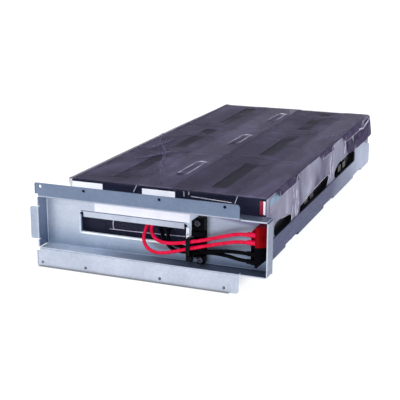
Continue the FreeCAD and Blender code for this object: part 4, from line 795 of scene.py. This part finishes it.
def make_flaps():
    """Film tucked over the right top edge in three short tabs, and loose flaps at the rear."""
    top = 88.9
    hanging("film_tab_front", [(52, top, 85.5), (56, top, 82), (112, top, 82.5), (123, top, 84)])
    hanging("film_tab_middle", [(214, top, 86), (219, top, 83.6), (262, top, 83.2), (271, top, 85)], seed=9)
    hanging("film_tab_rear", [(322, top, 86), (330, top, 81), (350, top, 80), (420, top, 82),
                              (428, top, 85)], seed=14)
    hanging("film_flap", [(386, 83, 61.5), (400, 84, 61), (440, 85, 61), (472, 86.5, 61.5),
                          (478.5, 87, 62.5)], rows=12, reach=3.4, seed=21)
    hanging("film_band", [(337, 82, 80), (343, 82, 74), (352, 81, 62), (368, 80, 60), (384, 70, 59)],
            rows=10, reach=1.6, seed=33)


def make_slits():
    """Painted shade in the small mouths of the puckers and of two tabs: near-black ovals tipped off the film.
    """
    sides = 16
    turns = [2 * math.pi * k / sides for k in range(sides)]
    circle = [(math.cos(turn), math.sin(turn)) for turn in turns]
    ovals = []
    for x, y, length, width in ((129.5, 78, 9, 4.2), (130, 238, 8.5, 4.5)):
        ovals.append([(at_x(x + length / 2 * c), (y + width / 2 * s) * MM,
                       FILM_HIGH.z + (0.75 + 0.2 * c) * MM) for c, s in circle])
    for y, z, length, height in ((119.5, 86.3, 6.5, 3.6), (268, 86.6, 5.5, 3.0)):
        ovals.append([(FILM_HIGH.x + (1.9 - 0.4 * s) * MM, (y + length / 2 * c) * MM,
                       at_z(z + height / 2 * s)) for c, s in circle])
    faces = [list(range(first, first + sides)) for first in range(0, sides * len(ovals), sides)]
    film_piece("film_slit_shade", [spot for oval in ovals for spot in oval], faces, SLIT_SHADE)


split_film()
make_folds()
make_flaps()
make_slits()


# -------------------------------------------------------------------------- leads
# places in the frame's millimetres, as in the CAD routes
LEAD_RADIUS = 1.8 * MM
OPENING_LEFT = -62.1                        # x of the window's left edge
PAN_FLOOR = -24.0
GAP = 21.5                                  # y between the pan and the film
LAY = 9.0                                   # y of the leads inside the pan
BOOT_LEVEL = 7.4                            # z of the boots' middles
BLACK_START = 32.2                          # y where the black leads begin, in the front boots
PORT_SPOTS = ((111.4, 6.6), (128.3, 6.6))   # x and y before a plug's port and inside it
RED_LEVELS = (6.1, 13.7)                    # z of the ports
BLACK_LEVELS = (-12.4, -4.8)


def tube(name, route, slot, replaced):
    """Smooth round lead through control points given in millimetres."""
    data = bpy.data.curves.new(name, "CURVE")
    data.dimensions = "3D"
    data.bevel_depth = LEAD_RADIUS
    data.bevel_resolution = 5
    data.resolution_u = 8
    data.use_fill_caps = True
    spline = data.splines.new("NURBS")
    spline.points.add(len(route) - 1)
    for point, spot in zip(spline.points, route):
        point.co = (*(value * MM for value in spot), 1)
    spline.order_u = 3
    spline.use_endpoint_u = True
    data.materials.append(FINISH[slot])
    item = add_object(name, data)
    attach(item, "root")
    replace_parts(item, replaced)


def inside_run(middle, bows, level):
    """Start in the rear boot, then a waving run over the terminals to the film's front."""
    rear, near, runs = 417.3, 40.2, 7
    points = [(middle, 453.6, BOOT_LEVEL), (middle, 439.3, BOOT_LEVEL)]
    for index in range(runs + 1):
        share = index / runs
        points.append((middle + bows[index % 2], rear * (1 - share) + near * share,
                       level + 0.7 * ((index + 1) % 2)))
    return points


def window_route(*spots):
    """Spots given from the window's left edge and the pan's floor."""
    return [(OPENING_LEFT + x, y, PAN_FLOOR + z) for x, y, z in spots]


def into_port(level):
    """The last two points, level with their connector's port and inside it."""
    return [(x, y, level) for x, y in PORT_SPOTS]


def make_leads():
    """Two red and two black leads, on the same points as the CAD routes."""
    left, right = 21.8, 126.8
    route = inside_run(left, (1.2, 2.6), 22.0)
    route += window_route(
        (84.5, GAP + 0.1, 45.9), (74.5, GAP, 38.4), (71.5, GAP, 30.4), (70.5, LAY + 2.5, 18.9),
        (77.5, LAY - 1, 9.4), (92, LAY - 1.2, 7), (121, LAY - 0.5, 16), (158, LAY - 1.2, 26.6))
    tube("red_lead_left", route + into_port(RED_LEVELS[0]), "red_insulation", "lead_red_left")

    route = inside_run(right, (-0.3, 0.5), 20.0) + [(right, GAP + 0.1, PAN_FLOOR + 42.6)]
    route += window_route(
        (175, GAP, 41), (127, GAP - 0.1, 41.4), (89, GAP, 40.4), (80.5, GAP, 35.4), (75.5, GAP - 0.5, 29.9),
        (80.5, LAY + 4.5, 21.4), (91, LAY + 0.8, 17.9), (105.5, LAY, 18.8), (134, LAY - 0.4, 25.4),
        (160, LAY - 1.2, 34))
    tube("red_lead_right", route + into_port(RED_LEVELS[1]), "red_insulation", "lead_red_right")

    route = [(right, BLACK_START, BOOT_LEVEL), (right, GAP + 0.1, BOOT_LEVEL)]
    route += window_route(
        (175, GAP, 33.9), (137, GAP - 0.1, 35.6), (101, GAP, 36), (94, GAP - 0.6, 28.4),
        (96, LAY + 5.5, 19.9), (104.5, LAY + 4.4, 15.6), (116, LAY + 3.8, 15.2), (124.5, LAY + 3.6, 15),
        (137, LAY + 0.2, 14.8), (160, LAY - 1.2, 18.6))
    tube("black_lead_right", route + into_port(BLACK_LEVELS[1]), "black_insulation", "lead_black_right")

    route = [(left, BLACK_START, BOOT_LEVEL), (left, GAP + 2.1, BOOT_LEVEL)]
    route += window_route(
        (89.5, LAY + 7.5, 22.9), (98, LAY + 3.5, 13.4), (108, LAY + 3.6, 10.2), (119, LAY + 3.6, 10.7),
        (128.5, LAY + 3.9, 11.4), (143.3, LAY + 2.8, 13.4), (161, LAY - 0.6, 13.6))
    tube("black_lead_left", route + into_port(BLACK_LEVELS[0]), "black_insulation", "lead_black_left")


finish_nodes()
make_leads()


# --------------------------------------------------------- floor, light and camera
# painted shade on the floor under the front flange, behind it and under the tray: metres, as
# left, right, front, rear and the width of its soft edge
SHADED = ((-0.100, 0.101, -0.001, 0.003, 0.003), (-0.088, 0.0945, 0.006, 0.024, 0.003),
          (-0.1070, -0.085, 0.009, 0.020, 0.0025), (-0.060, 0.070, 0.06, 0.45, 0.04))


def make_floor():
    """Very large pale floor that glows softly, except close under the object, where a painted shade darkens
    it.
    """
    half = 15.0
    level = CAD_BOX[0][2]
    mesh = bpy.data.meshes.new("studio_floor")
    mesh.from_pydata([(-half, -half, level), (half, -half, level), (half, half, level), (-half, half, level)],
                     [], [(0, 1, 2, 3)])
    s = Shader("floor_paper", Roughness=0.9, Emission_Color=(0.97, 0.98, 1.0, 1.0))
    x, y = s.axis("X"), s.axis("Y")
    glow = 1.0
    for x0, x1, y0, y1, fade in SHADED:
        beyond = []
        for value, low, high in ((x, x0, x1), (y, y0, y1)):
            from_middle = s.math("ABSOLUTE", s.math("SUBTRACT", value, (low + high) / 2))
            beyond.append(s.math("SUBTRACT", from_middle, (high - low) / 2))
        here = s.span(s.math("MAXIMUM", *beyond), 0.0, fade, 0.12, 1.0)
        glow = s.math("MULTIPLY", here, glow)
    paper_tone = s.tones(s.noise(3, 3), 0.21, 0.23)
    s.feed(Base_Color=s.mix(glow, (0.04, 0.04, 0.045), paper_tone),
           Emission_Strength=s.math("MULTIPLY", glow, 0.88))
    mesh.materials.append(s.material)
    floor = add_object("studio_floor", mesh)


def make_world():
    """Soft overhead light that falls off lower down, over a pale horizon."""
    world = bpy.data.worlds.new("studio")
    world.use_nodes = True
    tree = world.node_tree
    split = tree.nodes.new("ShaderNodeSeparateXYZ")
    tree.links.new(tree.nodes.new("ShaderNodeTexCoord").outputs["Generated"], split.inputs["Vector"])
    brighter = tree.nodes.new("ShaderNodeMath")
    brighter.operation = "MAXIMUM"
    overhead = (0.35, 1.0, 0.16, 1.9)
    horizon = (0.12, 0.06, 0.16, 1.2)
    for socket, numbers in zip(brighter.inputs, (overhead, horizon)):
        strength = tree.nodes.new("ShaderNodeMapRange")
        strength.interpolation_type = "SMOOTHSTEP"
        for name, number in zip(("From Min", "From Max", "To Min", "To Max"), numbers):
            strength.inputs[name].default_value = number
        tree.links.new(split.outputs["Z"], strength.inputs["Value"])
        tree.links.new(strength.outputs["Result"], socket)
    background = tree.nodes["Background"]
    background.inputs["Color"].default_value = (0.93, 0.96, 1.0, 1.0)
    tree.links.new(brighter.outputs["Value"], background.inputs["Strength"])
    bpy.context.scene.world = world


def area_light(name, place, size, power, shadow=True):
    """Round soft lamp, aimed at the object's front half, that shiny surfaces don't mirror."""
    target = (0.05, 0.1, 0.0)
    data = bpy.data.lights.new(name, "AREA")
    data.shape = "DISK"
    data.size = size
    data.energy = power
    data.color = (1.0, 0.99, 0.98)
    data.use_shadow = shadow
    light = add_object(name, data)
    light.location = place
    light.visible_glossy = False
    light.rotation_euler = (Vector(target) - Vector(place)).to_track_quat("-Z", "Y").to_euler()


def make_camera():
    """Camera to the right of the front and slightly above, with a long lens."""
    azimuth, elevation, roll = (math.radians(angle) for angle in (21.30, 15.71, 0.30))
    target = Vector((0.0152, 0.1472, -0.0008))
    distance = 1.0585
    back = Vector((math.sin(azimuth) * math.cos(elevation), -math.cos(azimuth) * math.cos(elevation),
                   math.sin(elevation)))
    data = bpy.data.cameras.new("camera")
    data.lens = 87.14
    data.sensor_width = 36
    camera = add_object("camera", data)
    camera.location = target + back * distance
    right = Vector((math.cos(azimuth), math.sin(azimuth), 0))
    up = back.cross(right)
    across = right * math.cos(roll) + up * math.sin(roll)
    above = up * math.cos(roll) - right * math.sin(roll)
    camera.rotation_mode = "QUATERNION"
    camera.rotation_quaternion = Matrix((across, above, back)).transposed().to_quaternion()
    bpy.context.scene.camera = camera


make_floor()
make_world()
area_light("key", (-1.1, -2.0, 1.2), 1.2, 14)
area_light("fill", (-0.5, -2.2, 1.0), 1.6, 40, shadow=False)
make_camera()
bpy.context.scene.view_settings.view_transform = "Standard"
